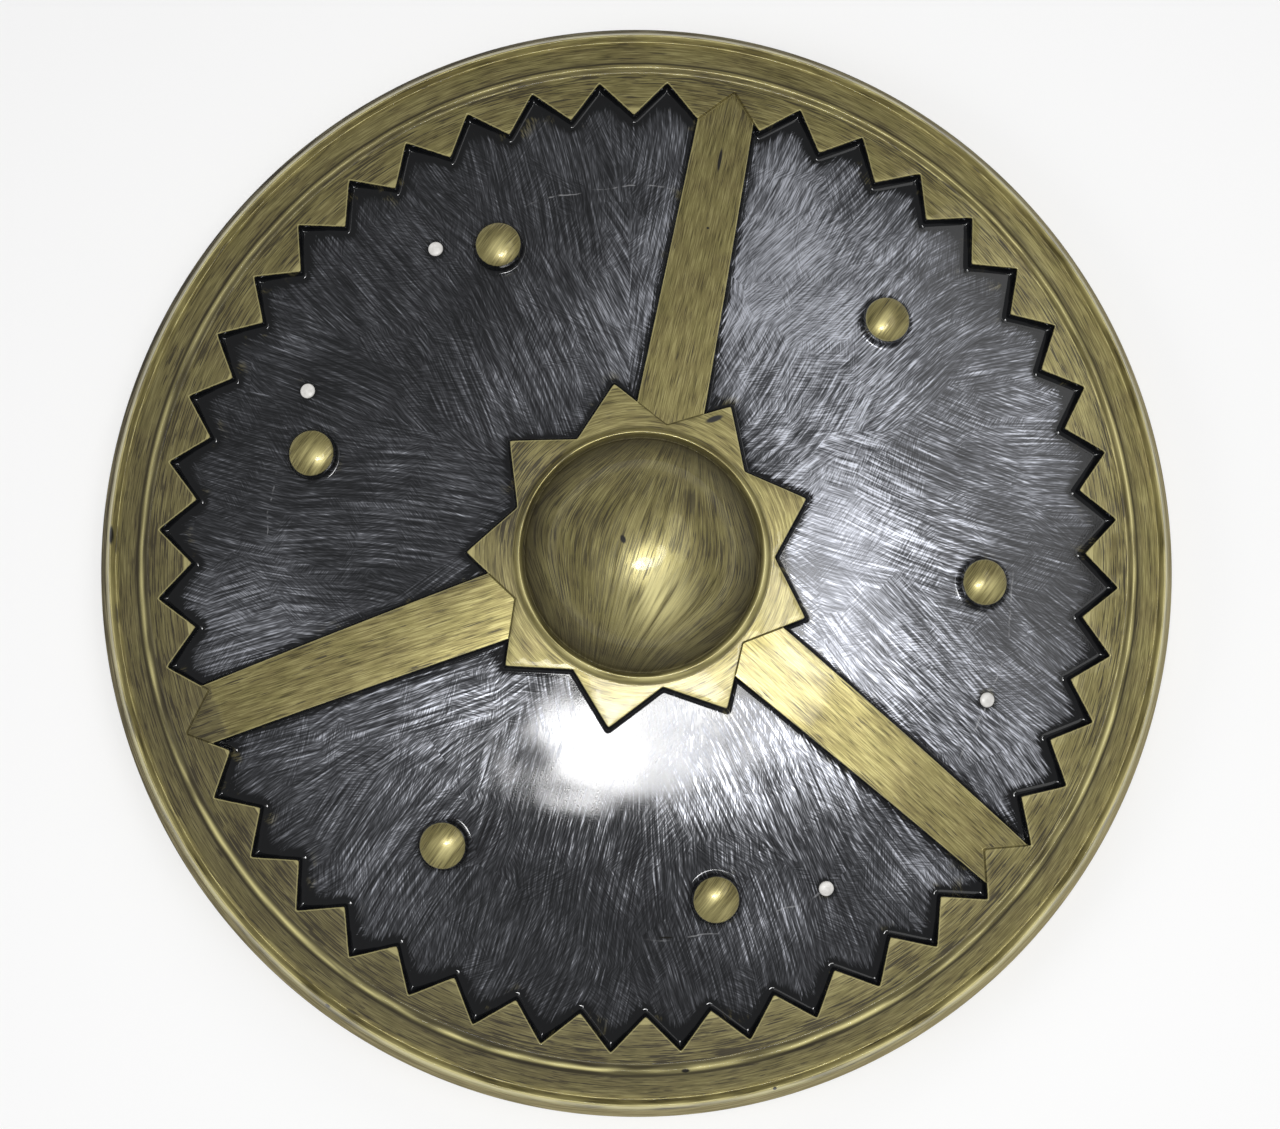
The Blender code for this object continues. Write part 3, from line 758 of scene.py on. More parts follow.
def pooled_wash_and_shade(x, y):
    """Smooth darkening: wash run together at the bead feet and flanks, darker on the rim's lower left and the
    star's left, and at the boss's foot painted shade on the ball's steep sides with wash in the crease.
    """
    radius, angle = np.hypot(x, y), np.arctan2(y, x) % (2 * pi)
    feet = [
        weight * near(radius - crest - hand * width / 2, POOL_WIDTH)
        for (crest, width, _, _), hand, weight in FOOT_POOLS
    ]
    flanks = [weight * near(radius - flank, POOL_WIDTH) for flank, weight in FLANK_POOLS]
    # darker towards the lower left of the rim
    lower = 0.60 * low_left(angle) * (radius > RIM_FROM) * (radius < CHANNEL_TO)
    rim = np.minimum(lower + np.max(flanks, axis=0), 0.95)
    on_star = (in_star(radius, angle) > 0) & (radius > STAR_FROM)
    # darker on the star's left
    star_darker_left = (0.10 + 0.30 * near(angle - radians(165), 0.9)) * on_star
    # painted shade on the ball's steep sides round the boss's foot, with wash in its crease
    boss_foot_shade = 0.74 * near(radius - 0.0500, 0.0085) * (radius < BOSS_FOOT + CREASE)
    return np.max([rim, *feet, star_darker_left, boss_foot_shade], axis=0)


def crests_and_highlights(x, y):
    """Where the gold is painted brighter: the beads' rubbed crest lines with a painted highlight on their
    side towards the lamps, a painted highlight on the boss below its top and on each stud, and painted light
    on the skirt's lower right.
    """
    radius, angle = np.hypot(x, y), np.arctan2(y, x)
    crest = np.zeros(len(x))
    for place, width, strength, side, swing in RUBBED_CRESTS_AND_HIGHLIGHTS:
        # painted highlight: each crest line is brighter on the side towards the lamps
        rubbed = 1 - swing + swing * np.cos(angle - radians(side))
        crest = np.maximum(crest, strength * rubbed * near(radius - place, width))
    # painted highlight on the boss: a broad one round its top and a bright spot below it
    boss_painted_highlight = 0.26 * near(radius, 0.026) + 1.10 * near(np.hypot(x - BOSS_PAINTED_HIGHLIGHT[0], y - BOSS_PAINTED_HIGHLIGHT[1]), 0.0145)
    # painted highlight on each stud, a little right of and below its axis
    stud = 0.75 * near(from_studs(x - 0.001, y + 0.002).min(axis=0), 0.0065)
    # painted light: the skirt is lighter towards the lower right
    skirt_painted_light = (radius > SKIRT_PAINTED_LIGHT_FROM) * (0.5 + 0.5 * np.cos(angle - radians(315)))
    return np.max([crest, boss_painted_highlight, stud, skirt_painted_light], axis=0)


print("silver load up to", round(float(silver_load_and_sheen(*front_plan.T).max()), 2))

# %% [markdown]
# ## Which way the brush went
#
# Streaks need a place along and across the brush at each point. Round the rim that is simply the
# radius across, and the point itself along. On a bar it is the bar's own two directions. On the
# boss the strokes bulge like meridians, leaning a little to the right. Each stud is slanted.

# %% Paint attributes: stroke directions
LINE_RADIUS = 0.1702
LINE_ARCS = ((84, 108), (166, 178), (324, 360), (271, 300))
LINE_FADE = 3
BOSS_LEAN = radians(72)
BOSS_BULGE = 500


def boss_places(x, y):
    """Across and along the boss's strokes, u (1 + 500 v²) and v, in axes u and v that lean over."""
    u = x * sin(BOSS_LEAN) - y * cos(BOSS_LEAN)
    v = x * cos(BOSS_LEAN) + y * sin(BOSS_LEAN)
    return np.stack([u * (1 + BOSS_BULGE * v * v), v, 0 * x], axis=1)


def stroke_places(x, y):
    """Across and along the brush at each point, in metres."""
    radius, angle = np.hypot(x, y), np.arctan2(y, x)
    places = np.stack([radius, x, y], axis=1)
    turn = angle - np.radians(BAR_ANGLES)[:, None]
    bars = in_bars(radius, angle)
    for row, inside in enumerate(bars):
        on_bar = (inside > -0.004) & (in_star(radius, angle) < -0.0005) & (in_band(radius, angle) < -0.0005)
        across, along = radius * np.sin(turn[row]), radius * np.cos(turn[row])
        places[on_bar] = np.stack([across + 0.04 * along, along, np.full(len(x), 0.3 * row)], axis=1)[on_bar]
    on_stud = (from_studs(x, y) < STUD_RADIUS + 0.003).any(axis=0)
    places[on_stud] = np.stack([0.8 * x - 0.6 * y, 0.6 * x + 0.8 * y, 0 * x + 1.0], axis=1)[on_stud]
    on_boss = radius < BOSS_FOOT + 0.0010
    places[on_boss] = boss_places(x, y)[on_boss]
    return places


def line_shown(x, y):
    """1 on the arcs of the mould's faint parting line, fading over 3 degrees at their ends."""
    direction = np.degrees(np.arctan2(y, x)) % 360
    inside = np.max([np.minimum(direction - first, last - direction) for first, last in LINE_ARCS], axis=0)
    return np.clip(inside / LINE_FADE, 0, 1)


def add_attribute(mesh, name, front, kind="FLOAT"):
    """Store an attribute on the front's vertices, with zeros behind."""
    values = np.zeros((len(mesh.vertices), *np.shape(front)[1:]), np.float32)
    values[:len(front)] = front
    layer = mesh.attributes.new(name, kind, "POINT")
    layer.data.foreach_set("value" if kind == "FLOAT" else "vector", values.ravel())


x, y = front_plan.T
radius, angle = np.hypot(x, y), np.arctan2(y, x)
bar, stud = in_bars(radius, angle).max(axis=0), STUD_RADIUS - from_studs(x, y).min(axis=0)
gold_inside = 1000 * np.max([in_band(radius, angle), bar, in_star(radius, angle), stud], axis=0)
add_attribute(sheet.data, "gold", gold_inside)
add_attribute(sheet.data, "clear", brush_clearance(x, y))
add_attribute(sheet.data, "load_and_sheen", silver_load_and_sheen(x, y))
add_attribute(sheet.data, "grime", grime(x, y))
add_attribute(sheet.data, "pooled_wash_and_shade", pooled_wash_and_shade(x, y))
# the crest attribute carries rubbed gold, painted highlights and painted light on the skirt
add_attribute(sheet.data, "crest", crests_and_highlights(x, y))
add_attribute(sheet.data, "line_away", 1000 * (radius - LINE_RADIUS))
add_attribute(sheet.data, "line_shown", line_shown(x, y))
add_attribute(sheet.data, "stroke", stroke_places(x, y), "FLOAT_VECTOR")
print("gold on", round(100 * float(np.mean(gold_inside > 0))), "% of the front's vertices")

# %% [markdown]
# ## Rivets
#
# Four off-white plastic rivets hold the straps. Each is a turned solid: a low domed head with a
# faint parting ring, a shank and a clinched end. The profile is carried round the axis, and the
# rivet then leans with the dome, so that it sits square on the sheet.

# %% Rivets
GAP = 0.0003
HEAD_RADIUS, HEAD_RISE = 0.0034, 0.0014
SHANK_RADIUS = 0.0018
STRAP_THICKNESS = 0.0016
BACK_RADIUS, BACK_RISE = 0.0042, 0.0012
RIVET_COLUMNS = 48


def rivet_profile():
    """Radius and height from the top of the head to the clinched end, in short arcs."""
    turn = np.linspace(0, pi / 2, 12)
    head = np.stack([HEAD_RADIUS * np.sin(turn) ** 0.9, GAP + HEAD_RISE * np.cos(turn) ** 0.8], axis=1)
    head[:, 1] -= 0.00006 * near(head[:, 0] - 0.68 * HEAD_RADIUS, 0.00016)
    behind = -(SHEET + STRAP_THICKNESS + 2 * GAP)
    shank = [(HEAD_RADIUS - 0.0001, GAP - 0.00002), (SHANK_RADIUS, GAP), (SHANK_RADIUS, behind)]
    tail = np.stack([BACK_RADIUS * np.cos(turn) ** 0.7, behind - BACK_RISE * np.sin(turn)], axis=1)
    head[0, 0] = tail[-1, 0] = 0.0
    return np.vstack([head, shank, tail])


def turned(profile, columns):
    """Points and faces of a turned solid, as a grid closed by a fan of triangles at each pole."""
    angle = 2 * pi * np.arange(columns) / columns
    rings = profile[1:-1]
    x, y = rings[:, :1] * np.cos(angle), rings[:, :1] * np.sin(angle)
    z = np.repeat(rings[:, 1:], columns, axis=1)
    body = np.stack([x, y, z], axis=2).reshape(-1, 3)
    points = np.vstack([[0, 0, profile[0, 1]], body, [0, 0, profile[-1, 1]]])
    grid = 1 + np.arange(len(body)).reshape(len(rings), columns)
    after = np.roll(grid, -1, axis=1)
    quads = np.stack([grid[:-1], grid[1:], after[1:], after[:-1]], axis=2).reshape(-1, 4)
    top = np.stack([np.zeros(columns, int), grid[0], after[0]], axis=1)
    end = np.stack([np.full(columns, len(points) - 1), after[-1], grid[-1]], axis=1)
    return points, quads, np.vstack([top, end])


def rivet_place(angle):
    """Matrix of a rivet: out along its direction, then leaning with the dome's normal."""
    direction = radians(angle)
    x, y = out_of_round(RIVET_CIRCLE * cos(direction), RIVET_CIRCLE * sin(direction))
    place = Matrix.Translation((x, y, float(dome(RIVET_CIRCLE))))
    return place @ Matrix.Rotation(direction, 4, "Z") @ Matrix.Rotation(RIVET_LEAN, 4, "Y")


rivets = []
for name, angle in RIVET_ANGLES.items():
    points, quads, fans = turned(rivet_profile(), RIVET_COLUMNS)
    rivet = make_piece(name + "_turned", points, quads, fans)
    rivet.data.transform(rivet_place(angle))
    rivets.append((name, rivet))
print(len(rivets), "rivets of", len(rivets[0][1].data.polygons), "faces")

# %% [markdown]
# ## Straps
#
# Behind the sheet, a grip strap and an arm strap are plain strips of soft black plastic with round
# ends and a raised line along the edge. A strap is planned flat like the sheet, with the same net,
# and the plan is then carried along the strap's path: flat on the sheet at each rivet, and raised
# off it between them by half a cosine wave.

# %% Straps
rivet_angles = list(RIVET_ANGLES.values())
STRAPS = {"grip_strap": rivet_angles[:2], "arm_strap": rivet_angles[2:]}
STRAP_WIDTH = 0.0240
STRAP_LOOP = 0.0140
STRAP_TAB = 0.0110
STRAP_PAD = 0.0080
STRAP_CORNER = 0.0080
STRAP_LIP = 0.00022
LIP_PLACE = 0.0022
LIP_WIDTH = 0.0005
EDGE_ROUND = 0.0006
END_PLACES = (0.0040, 0.0013, -0.0013, -0.0040)
HOLE_COLLAR = 0.0030
COLLAR_CLEAR = 0.0042
GRID_PAST_RIVET = 0.006
GRID_HALF_WIDTH = 0.0075
EDGE_INSETS = np.array([0.0, 0.00012, 0.00032, 0.0006, 0.0014, 0.0018, 0.0022, 0.0026, 0.0030])


def strap_span(pair):
    """Half the distance between a strap's rivets."""
    first, second = np.radians(pair)
    return RIVET_CIRCLE * sin((second - first) / 2)


def strap_outline(pair, inset):
    """A rounded rectangle in along and across, at a distance inside the strap's edge."""
    length = strap_span(pair) + STRAP_TAB
    straight = np.linspace(-(length - STRAP_CORNER), length - STRAP_CORNER, 60)
    turn = np.linspace(0, pi / 2, 10)[1:-1]
    corner = STRAP_CORNER - inset
    x = length - STRAP_CORNER + corner * np.sin(turn)
    y = STRAP_WIDTH / 2 - STRAP_CORNER + corner * np.cos(turn)
    top = np.stack([straight, np.full(60, STRAP_WIDTH / 2 - inset)], axis=1)
    end = np.array([[length - inset, k] for k in END_PLACES])
    right = np.vstack([np.stack([x, y], 1), end, np.stack([x, -y], 1)[::-1]])
    return np.vstack([top, right, top[::-1] * [1, -1], right[::-1] * [-1, 1]])


def strap_inside(pair, along, across):
    """Distance inside the rounded rectangle, from its corner circles and straight sides."""
    length = strap_span(pair) + STRAP_TAB
    x = np.abs(along) - (length - STRAP_CORNER)
    y = np.abs(across) - (STRAP_WIDTH / 2 - STRAP_CORNER)
    round_part = np.hypot(np.clip(x, 0, None), np.clip(y, 0, None))
    return STRAP_CORNER - round_part - np.minimum(np.maximum(x, y), 0)


def strap_surface(pair, along, across):
    """Middle surface of a strap: the dome's point, moved square off the sheet by gap and loop."""
    first, second = np.radians(pair)
    middle = (first + second) / 2
    base = RIVET_CIRCLE * cos((second - first) / 2) + across
    x = base * cos(middle) - along * sin(middle)
    y = base * sin(middle) + along * cos(middle)
    reach = strap_span(pair) - STRAP_PAD
    loop = np.where(np.abs(along) < reach, STRAP_LOOP * (1 + np.cos(pi * along / reach)) / 2, 0)
    outward = np.array([sin(RIVET_LEAN) * cos(middle), sin(RIVET_LEAN) * sin(middle), cos(RIVET_LEAN)])
    off = SHEET + GAP + STRAP_THICKNESS / 2 + loop
    return np.stack([x, y, dome(np.hypot(x, y))], axis=1) - off[:, None] * outward


def strap_face(pair, plan, hand):
    """One face: the middle surface moved along its own normal by half the thickness."""
    along, across = plan.T
    step = 0.0001
    run = strap_surface(pair, along + step, across) - strap_surface(pair, along - step, across)
    width = strap_surface(pair, along, across + step) - strap_surface(pair, along, across - step)
    normal = np.cross(width, run)
    normal /= np.linalg.norm(normal, axis=1)[:, None]
    inside = strap_inside(pair, along, across)
    edge = np.clip(1 - inside / EDGE_ROUND, 0, 1)
    half = STRAP_THICKNESS / 2 * (0.35 + 0.65 * np.sqrt(1 - np.square(edge)))
    half += STRAP_LIP * near(inside - LIP_PLACE, LIP_WIDTH) * (hand < 0)
    points = strap_surface(pair, along, across) + hand * half[:, None] * normal
    x, y = out_of_round(points[:, 0], points[:, 1])
    return np.stack([x, y, points[:, 2]], axis=1)


def make_strap(name, pair):
    """A strap from its plan, with its two faces joined round the outline and the holes."""
    span = strap_span(pair)
    outlines = [strap_outline(pair, inset) for inset in EDGE_INSETS]
    centres = np.array([[-span, 0.0], [span, 0.0]])
    holes = [ring(r, HOLE_COLUMNS, 0.0, centre) for centre in centres for r in (HOLE_RADIUS, HOLE_COLLAR)]
    reach = span + GRID_PAST_RIVET
    x, y = np.meshgrid(np.linspace(-reach, reach, 50), np.linspace(-GRID_HALF_WIDTH, GRID_HALF_WIDTH, 7))
    free = np.stack([x.ravel(), y.ravel()], axis=1)
    free = free[(np.hypot(*(free[:, None] - centres).transpose(2, 0, 1)) > COLLAR_CLEAR).all(axis=1)]
    plan, triangles = net(outlines + holes, [], free)
    triangles = open_holes(plan, triangles, centres, HOLE_RADIUS)
    shift = len(plan)
    outline = nearest(plan, outlines[0])
    rims = [strip(outline, outline + shift)]
    rims += [strip(nearest(plan, hole)[::-1], nearest(plan, hole)[::-1] + shift) for hole in holes[::2]]
    points = np.vstack([strap_face(pair, plan, 1), strap_face(pair, plan, -1)])
    strap = make_piece(name, points, triangles, triangles[:, ::-1] + shift, np.concatenate(rims))
    along = np.tile(plan, (2, 1))
    layer = strap.data.attributes.new("stroke", "FLOAT_VECTOR", "POINT")
    layer.data.foreach_set("vector", np.pad(along[:, ::-1], ((0, 0), (0, 1))).astype(np.float32).ravel())
    return strap


straps = [(name, make_strap(name + "_strip", pair)) for name, pair in STRAPS.items()]
print(", ".join(f"{name} {len(strap.data.polygons)} faces" for name, strap in straps))

# %% [markdown]
# ## Short words for nodes
#
# Materials are graphs, and building them in code is easier to read with a few small helpers: one
# places a node and fills its inputs, two do arithmetic, and one turns a range of values into
# another. Colours are written as they look on a screen and changed to linear light.

# %% Node helpers


def screen(red, green, blue):
    """Linear colour from screen values of 0 to 255: ((c + 0.055) / 1.055) to the power 2.4."""
    share = np.array([red, green, blue]) / 255
    linear = np.where(share < 0.04045, share / 12.92, ((share + 0.055) / 1.055) ** 2.4)
    return (*linear.tolist(), 1.0)


def fill(tree, item, inputs):
    """Fill a node's inputs by name or number, each with a value or another node's output."""
    for name, value in inputs.items():
        if isinstance(value, bpy.types.NodeSocket):
            tree.links.new(value, item.inputs[name])
        else:
            item.inputs[name].default_value = value
    return item


def place(tree, kind, inputs=None, **settings):
    """Add a node with its settings and its inputs."""
    item = tree.nodes.new(kind)
    for name, value in settings.items():
        setattr(item, name, value)
    return fill(tree, item, inputs or {})


def calc(tree, operation, *values, clamp=False):
    """Arithmetic on numbers or outputs."""
    inputs = dict(enumerate(values))
    return place(tree, "ShaderNodeMath", inputs, operation=operation, use_clamp=clamp).outputs[0]


def vector(tree, operation, first, second):
    """Arithmetic on two vectors, or on a vector and a scale."""
    inputs = {0: first, "Scale" if operation == "SCALE" else 1: second}
    return place(tree, "ShaderNodeVectorMath", inputs, operation=operation).outputs[0]


def remap(tree, value, low, high, to_low=0.0, to_high=1.0):
    """Turn the range low to high into another one, with soft ends."""
    inputs = {"Value": value, "From Min": low, "From Max": high, "To Min": to_low, "To Max": to_high}
    return place(tree, "ShaderNodeMapRange", inputs, interpolation_type="SMOOTHSTEP").outputs[0]


def mix(tree, share, first, second):
    """Mix two colours."""
    inputs = {0: share, 6: first, 7: second}
    return place(tree, "ShaderNodeMix", inputs, data_type="RGBA").outputs[2]


def attribute(tree, name, vector=False):
    """Read an attribute of the mesh."""
    return place(tree, "ShaderNodeAttribute", attribute_name=name).outputs["Vector" if vector else "Fac"]


def new_group(name, inputs, outputs):
    """An empty node group with number or vector inputs and number outputs."""
    tree = bpy.data.node_groups.new(name, "ShaderNodeTree")
    for label, value in inputs.items():
        kind = "NodeSocketVector" if value is None else "NodeSocketFloat"
        socket = tree.interface.new_socket(label, in_out="INPUT", socket_type=kind)
        if value is not None:
            socket.default_value = value
    for label in outputs:
        tree.interface.new_socket(label, in_out="OUTPUT", socket_type="NodeSocketFloat")
    return tree, tree.nodes.new("NodeGroupInput").outputs, tree.nodes.new("NodeGroupOutput").inputs


def use(tree, group, **inputs):
    """Place a group in a material, with its inputs by name."""
    item = tree.nodes.new("ShaderNodeGroup")
    item.node_tree = group
    return fill(tree, item, inputs).outputs


print("antique gold in linear light:", [round(c, 3) for c in screen(150, 138, 92)[:3]])

# %% [markdown]
# ## Strokes of a nearly dry brush
#
# Dry brushing leaves thin parallel scratches of paint, in dabs that each point their own way. One
# noise stretched over the whole field would look combed. Here the field is cut into Voronoi
# patches, and each patch turns its own copy of a stretched noise. It points mostly outwards from
# the middle, as the painter's hand went, and swings round a little at the right. Near the rim of a
# patch a second set of patches takes over, so that no seam shows.

# %% Group: brush dabs
DAB_INPUTS = {
    "Place": None, "Patch": 0.04, "Width": 0.0008, "Length": 0.012, "Spread": 0.8, "Swing": 0.0, "Seed": 0.0
}
DAB_BEND = 3.5
NOISE_DEPTH = 50.0
dabs, given, result = new_group("brush_dabs", DAB_INPUTS, ["Value"])


def dab_layer(tree, given, seed, with_rims):
    """One set of patches: its stretched noise, and if wanted the distance from the patches' rims."""
    scaled = vector(tree, "SCALE", given["Place"], calc(tree, "DIVIDE", 1.0, given["Patch"]))
    seeded = vector(tree, "ADD", scaled, seed)
    cells = place(tree, "ShaderNodeTexVoronoi", {"Vector": seeded, "Scale": 1.0}, voronoi_dimensions="2D")
    centre = vector(tree, "SCALE", vector(tree, "SUBTRACT", cells.outputs["Position"], seed), given["Patch"])
    spot = place(tree, "ShaderNodeSeparateXYZ", {0: centre}).outputs
    chance = place(tree, "ShaderNodeSeparateColor", {0: cells.outputs["Color"]}).outputs
    outward = calc(tree, "ARCTAN2", spot["Y"], spot["X"])
    stray = calc(tree, "MULTIPLY", calc(tree, "SUBTRACT", chance[0], 0.5), given["Spread"])
    at_right = calc(tree, "POWER", calc(tree, "MAXIMUM", calc(tree, "COSINE", outward), 0.0), 3.0)
    swung = calc(tree, "MULTIPLY", at_right, given["Swing"])
    heading = calc(tree, "ADD", calc(tree, "ADD", outward, stray), swung)
    local = vector(tree, "SUBTRACT", given["Place"], centre)
    inputs = {"Vector": local, "Angle": calc(tree, "MULTIPLY", heading, -1.0)}
    own = place(tree, "ShaderNodeVectorRotate", inputs, rotation_type="Z_AXIS").outputs[0]
    axes = place(tree, "ShaderNodeSeparateXYZ", {0: own}).outputs
    bend = calc(tree, "MULTIPLY", calc(tree, "SUBTRACT", chance[1], 0.5), DAB_BEND)
    arc = calc(tree, "MULTIPLY", calc(tree, "MULTIPLY", axes["X"], axes["X"]), bend)
    across = calc(tree, "DIVIDE", calc(tree, "ADD", axes["Y"], arc), given["Width"])
    along = calc(tree, "DIVIDE", axes["X"], given["Length"])
    depth = calc(tree, "MULTIPLY", chance[2], NOISE_DEPTH)
    stretched = place(tree, "ShaderNodeCombineXYZ", {0: along, 1: across, 2: depth}).outputs[0]
    inputs = {"Vector": stretched, "Scale": 1.0, "Detail": 1.0, "Roughness": 0.5}
    noise = place(tree, "ShaderNodeTexNoise", inputs)
    if not with_rims:
        return noise.outputs["Fac"], None
    rims = place(
        tree, "ShaderNodeTexVoronoi", {"Vector": seeded, "Scale": 1.0},
        voronoi_dimensions="2D", feature="DISTANCE_TO_EDGE",
    )
    return noise.outputs["Fac"], rims.outputs["Distance"]


first_seed = place(dabs, "ShaderNodeCombineXYZ", {0: given["Seed"], 1: given["Seed"]}).outputs[0]
second_seed = vector(dabs, "ADD", first_seed, (7.3, 3.9, 0.0))
over, rim_distance = dab_layer(dabs, given, first_seed, True)
under, _ = dab_layer(dabs, given, second_seed, False)
shown = remap(dabs, rim_distance, 0.02, 0.16)
blend = place(dabs, "ShaderNodeMix", {0: shown, 2: under, 3: over}).outputs[0]
dabs.links.new(blend, result["Value"])
print("brush dabs:", len(dabs.nodes), "nodes")

# %% [markdown]
# ## Streaks, mottling and fine grain
#
# Gold brushed along a bar or round the rim leaves streaks that follow the part, so these read the
# stroke attribute and stretch a noise along it. Mottling is a plain noise for uneven paint. Fine
# grain is the skin of the plastic, from a small noise that only feeds bumps. The rivets, straps
# and sheet all use these groups.

# %% Groups: streaks, mottling, grain
streaks, given, result = new_group(
    "streaks", {"Stroke": None, "Width": 0.001, "Length": 0.02, "Detail": 2.0, "Seed": 0.0}, ["Value"]
)
parts = place(streaks, "ShaderNodeSeparateXYZ", {0: given["Stroke"]}).outputs
across = calc(streaks, "DIVIDE", parts["X"], given["Width"])
along = calc(streaks, "DIVIDE", parts["Y"], given["Length"])
turn = calc(streaks, "ADD", calc(streaks, "DIVIDE", parts["Z"], given["Length"]), given["Seed"])
stretched = place(streaks, "ShaderNodeCombineXYZ", {0: across, 1: along, 2: turn}).outputs[0]
noise = place(
    streaks, "ShaderNodeTexNoise",
    {"Vector": stretched, "Scale": 1.0, "Detail": given["Detail"], "Roughness": 0.6},
).outputs["Fac"]
streaks.links.new(noise, result["Value"])


def lumps(tree, given, detail):
    """A plain noise whose lumps have the group's own size."""
    small = vector(tree, "SCALE", given["Place"], calc(tree, "DIVIDE", 1.0, given["Size"]))
    return place(tree, "ShaderNodeTexNoise", {"Vector": small, "Scale": 1.0, "Detail": detail}).outputs["Fac"]


mottle, given, result = new_group("mottle", {"Place": None, "Size": 0.02, "Low": 0.4, "High": 0.6}, ["Value"])
noise = lumps(mottle, given, 3.0)
mottle.links.new(remap(mottle, noise, given["Low"], given["High"]), result["Value"])

grain, given, result = new_group("fine_grain", {"Place": None, "Size": 0.0006, "Height": 0.00002}, ["Height"])
grain.links.new(calc(grain, "MULTIPLY", lumps(grain, given, 2.0), given["Height"]), result["Height"])
print("groups:", ", ".join(sorted(group.name for group in bpy.data.node_groups)))

# %% [markdown]
# ## Marks
#
# A used shield has a few marks of its own: chips in the gold, a dent on the boss, a scrape by the
# lower rivets. Each is one dark oval at a known place. The oval is a length: the point is moved to
# the mark, turned, divided by the mark's length and width, and compared with one.

# %% Group: mark
mark, given, result = new_group(
    "mark", {"Place": None, "X": 0.0, "Y": 0.0, "Turn": 0.0, "Length": 0.001, "Width": 0.001}, ["Value"]
)
middle = place(mark, "ShaderNodeCombineXYZ", {0: given["X"], 1: given["Y"]}).outputs[0]
moved = vector(mark, "MULTIPLY", vector(mark, "SUBTRACT", given["Place"], middle), (1.0, 1.0, 0.0))
inputs = {"Vector": moved, "Angle": calc(mark, "MULTIPLY", given["Turn"], -1.0)}
own = place(mark, "ShaderNodeVectorRotate", inputs, rotation_type="Z_AXIS").outputs[0]
size = place(mark, "ShaderNodeCombineXYZ", {0: given["Length"], 1: given["Width"], 2: 1.0}).outputs[0]
oval = place(mark, "ShaderNodeVectorMath", {0: vector(mark, "DIVIDE", own, size)}, operation="LENGTH")
mark.links.new(remap(mark, oval.outputs["Value"], 1.3, 0.7), result["Value"])

MARKS = {
    "dent_on_boss": (160.4, 0.0095, 110, 0.0019, 0.0011),
    "scrape_on_bar": (78.7, 0.1867, 80, 0.0062, 0.0008),
    "pit_on_bar": (78.5, 0.1531, 0, 0.0006, 0.0006),
    "chip_lower_left": (234.6, 0.2440, 325, 0.0013, 0.0008),
    "chip_on_ridge": (275.1, 0.2284, 0, 0.0018, 0.0010),
    "chip_bottom": (284.5, 0.2434, 15, 0.0009, 0.0009),
    "worn_at_left": (177.4, 0.2428, 90, 0.0042, 0.0010),
    "scrape_by_rivets": (273.8, 0.1694, 0, 0.0030, 0.0005),
    "worn_star_point": (62.0, 0.0690, 20, 0.0040, 0.0013),
}


def all_marks(tree, spot):
    """The strongest of all the marks at each point."""
    strongest = None
    for direction, radius, turn, length, width in MARKS.values():
        x, y = out_of_round(radius * cos(radians(direction)), radius * sin(radians(direction)))
        shown = use(tree, mark, Place=spot, X=x, Y=y, Turn=radians(turn), Length=length, Width=width)[0]
        strongest = shown if strongest is None else calc(tree, "MAXIMUM", strongest, shown)
    return strongest


print(len(MARKS), "marks")

# %% [markdown]
# ## Painted sheet
#
# The finish is built up as the maker did it. The black plastic comes first. Silver goes on it in
# long outward strokes and shorter crossing ones, wherever the brush could reach. The film of paint
# is the load times a power of the stroke noise, so thin parts still look brushed, and the strokes
# close up where the load is thick. The load is partly painted sheen, heaviest right of and below the star.

# %% Painted sheet: silver over black


def new_material(name):
    """A material with its node tree, its shader and the Object coordinates."""
    material = bpy.data.materials.new(name)
    material.use_nodes = True
    tree = material.node_tree
    shader = tree.nodes["Principled BSDF"]
    return material, tree, shader, place(tree, "ShaderNodeTexCoord").outputs["Object"]


def scaled(tree, value, factor, shift=0.0):
    """A value times a factor, plus a shift."""
    return place(tree, "ShaderNodeMath", {0: value, 1: factor, 2: shift}, operation="MULTIPLY_ADD").outputs[0]


def bump_by(tree, shader, height):
    """Bend the shader's normals by a height in metres."""
    inputs = {"Height": height, "Distance": 1.0, "Strength": 1.0}
    tree.links.new(place(tree, "ShaderNodeBump", inputs).outputs["Normal"], shader.inputs["Normal"])


BLACK = screen(17, 18, 20)
SILVER_PAINT = screen(212, 215, 225)
LONG_STROKES = dict(Patch=0.075, Width=0.00080, Length=0.0190, Spread=0.35, Swing=-0.45, Seed=3.0)
SHORT_STROKES = dict(Patch=0.026, Width=0.00055, Length=0.0052, Spread=1.8, Swing=0.2, Seed=17.0)
STROKE_POWER = 60000.0
painted, tree, shader, spot = new_material("painted_sheet")
strands = use(tree, dabs, Place=spot, **LONG_STROKES)[0]
crossing = use(tree, dabs, Place=spot, **SHORT_STROKES)[0]
strokes = calc(tree, "ADD", scaled(tree, strands, 0.60), scaled(tree, crossing, 0.40, -0.50))
patches = use(tree, mottle, Place=spot, Size=0.030, Low=0.25, High=0.75)[0]
# the silver load is partly painted sheen
load_and_sheen = calc(tree, "MULTIPLY", attribute(tree, "load_and_sheen"), scaled(tree, patches, 0.80, 0.60))
ragged = calc(tree, "ADD", attribute(tree, "clear"), scaled(tree, strokes, 8.0, -0.4))
reached = remap(tree, ragged, -0.8, 2.0)
open_share = remap(tree, attribute(tree, "load_and_sheen"), 0.56, 0.24, 0.38, 1.0)
opened = calc(tree, "MULTIPLY", strokes, open_share)
film = calc(tree, "MULTIPLY", load_and_sheen, calc(tree, "POWER", STROKE_POWER, opened))
silver = calc(tree, "MULTIPLY", film, reached, clamp=True)
field_colour = mix(tree, silver, BLACK, SILVER_PAINT)
print("silver strokes ready")

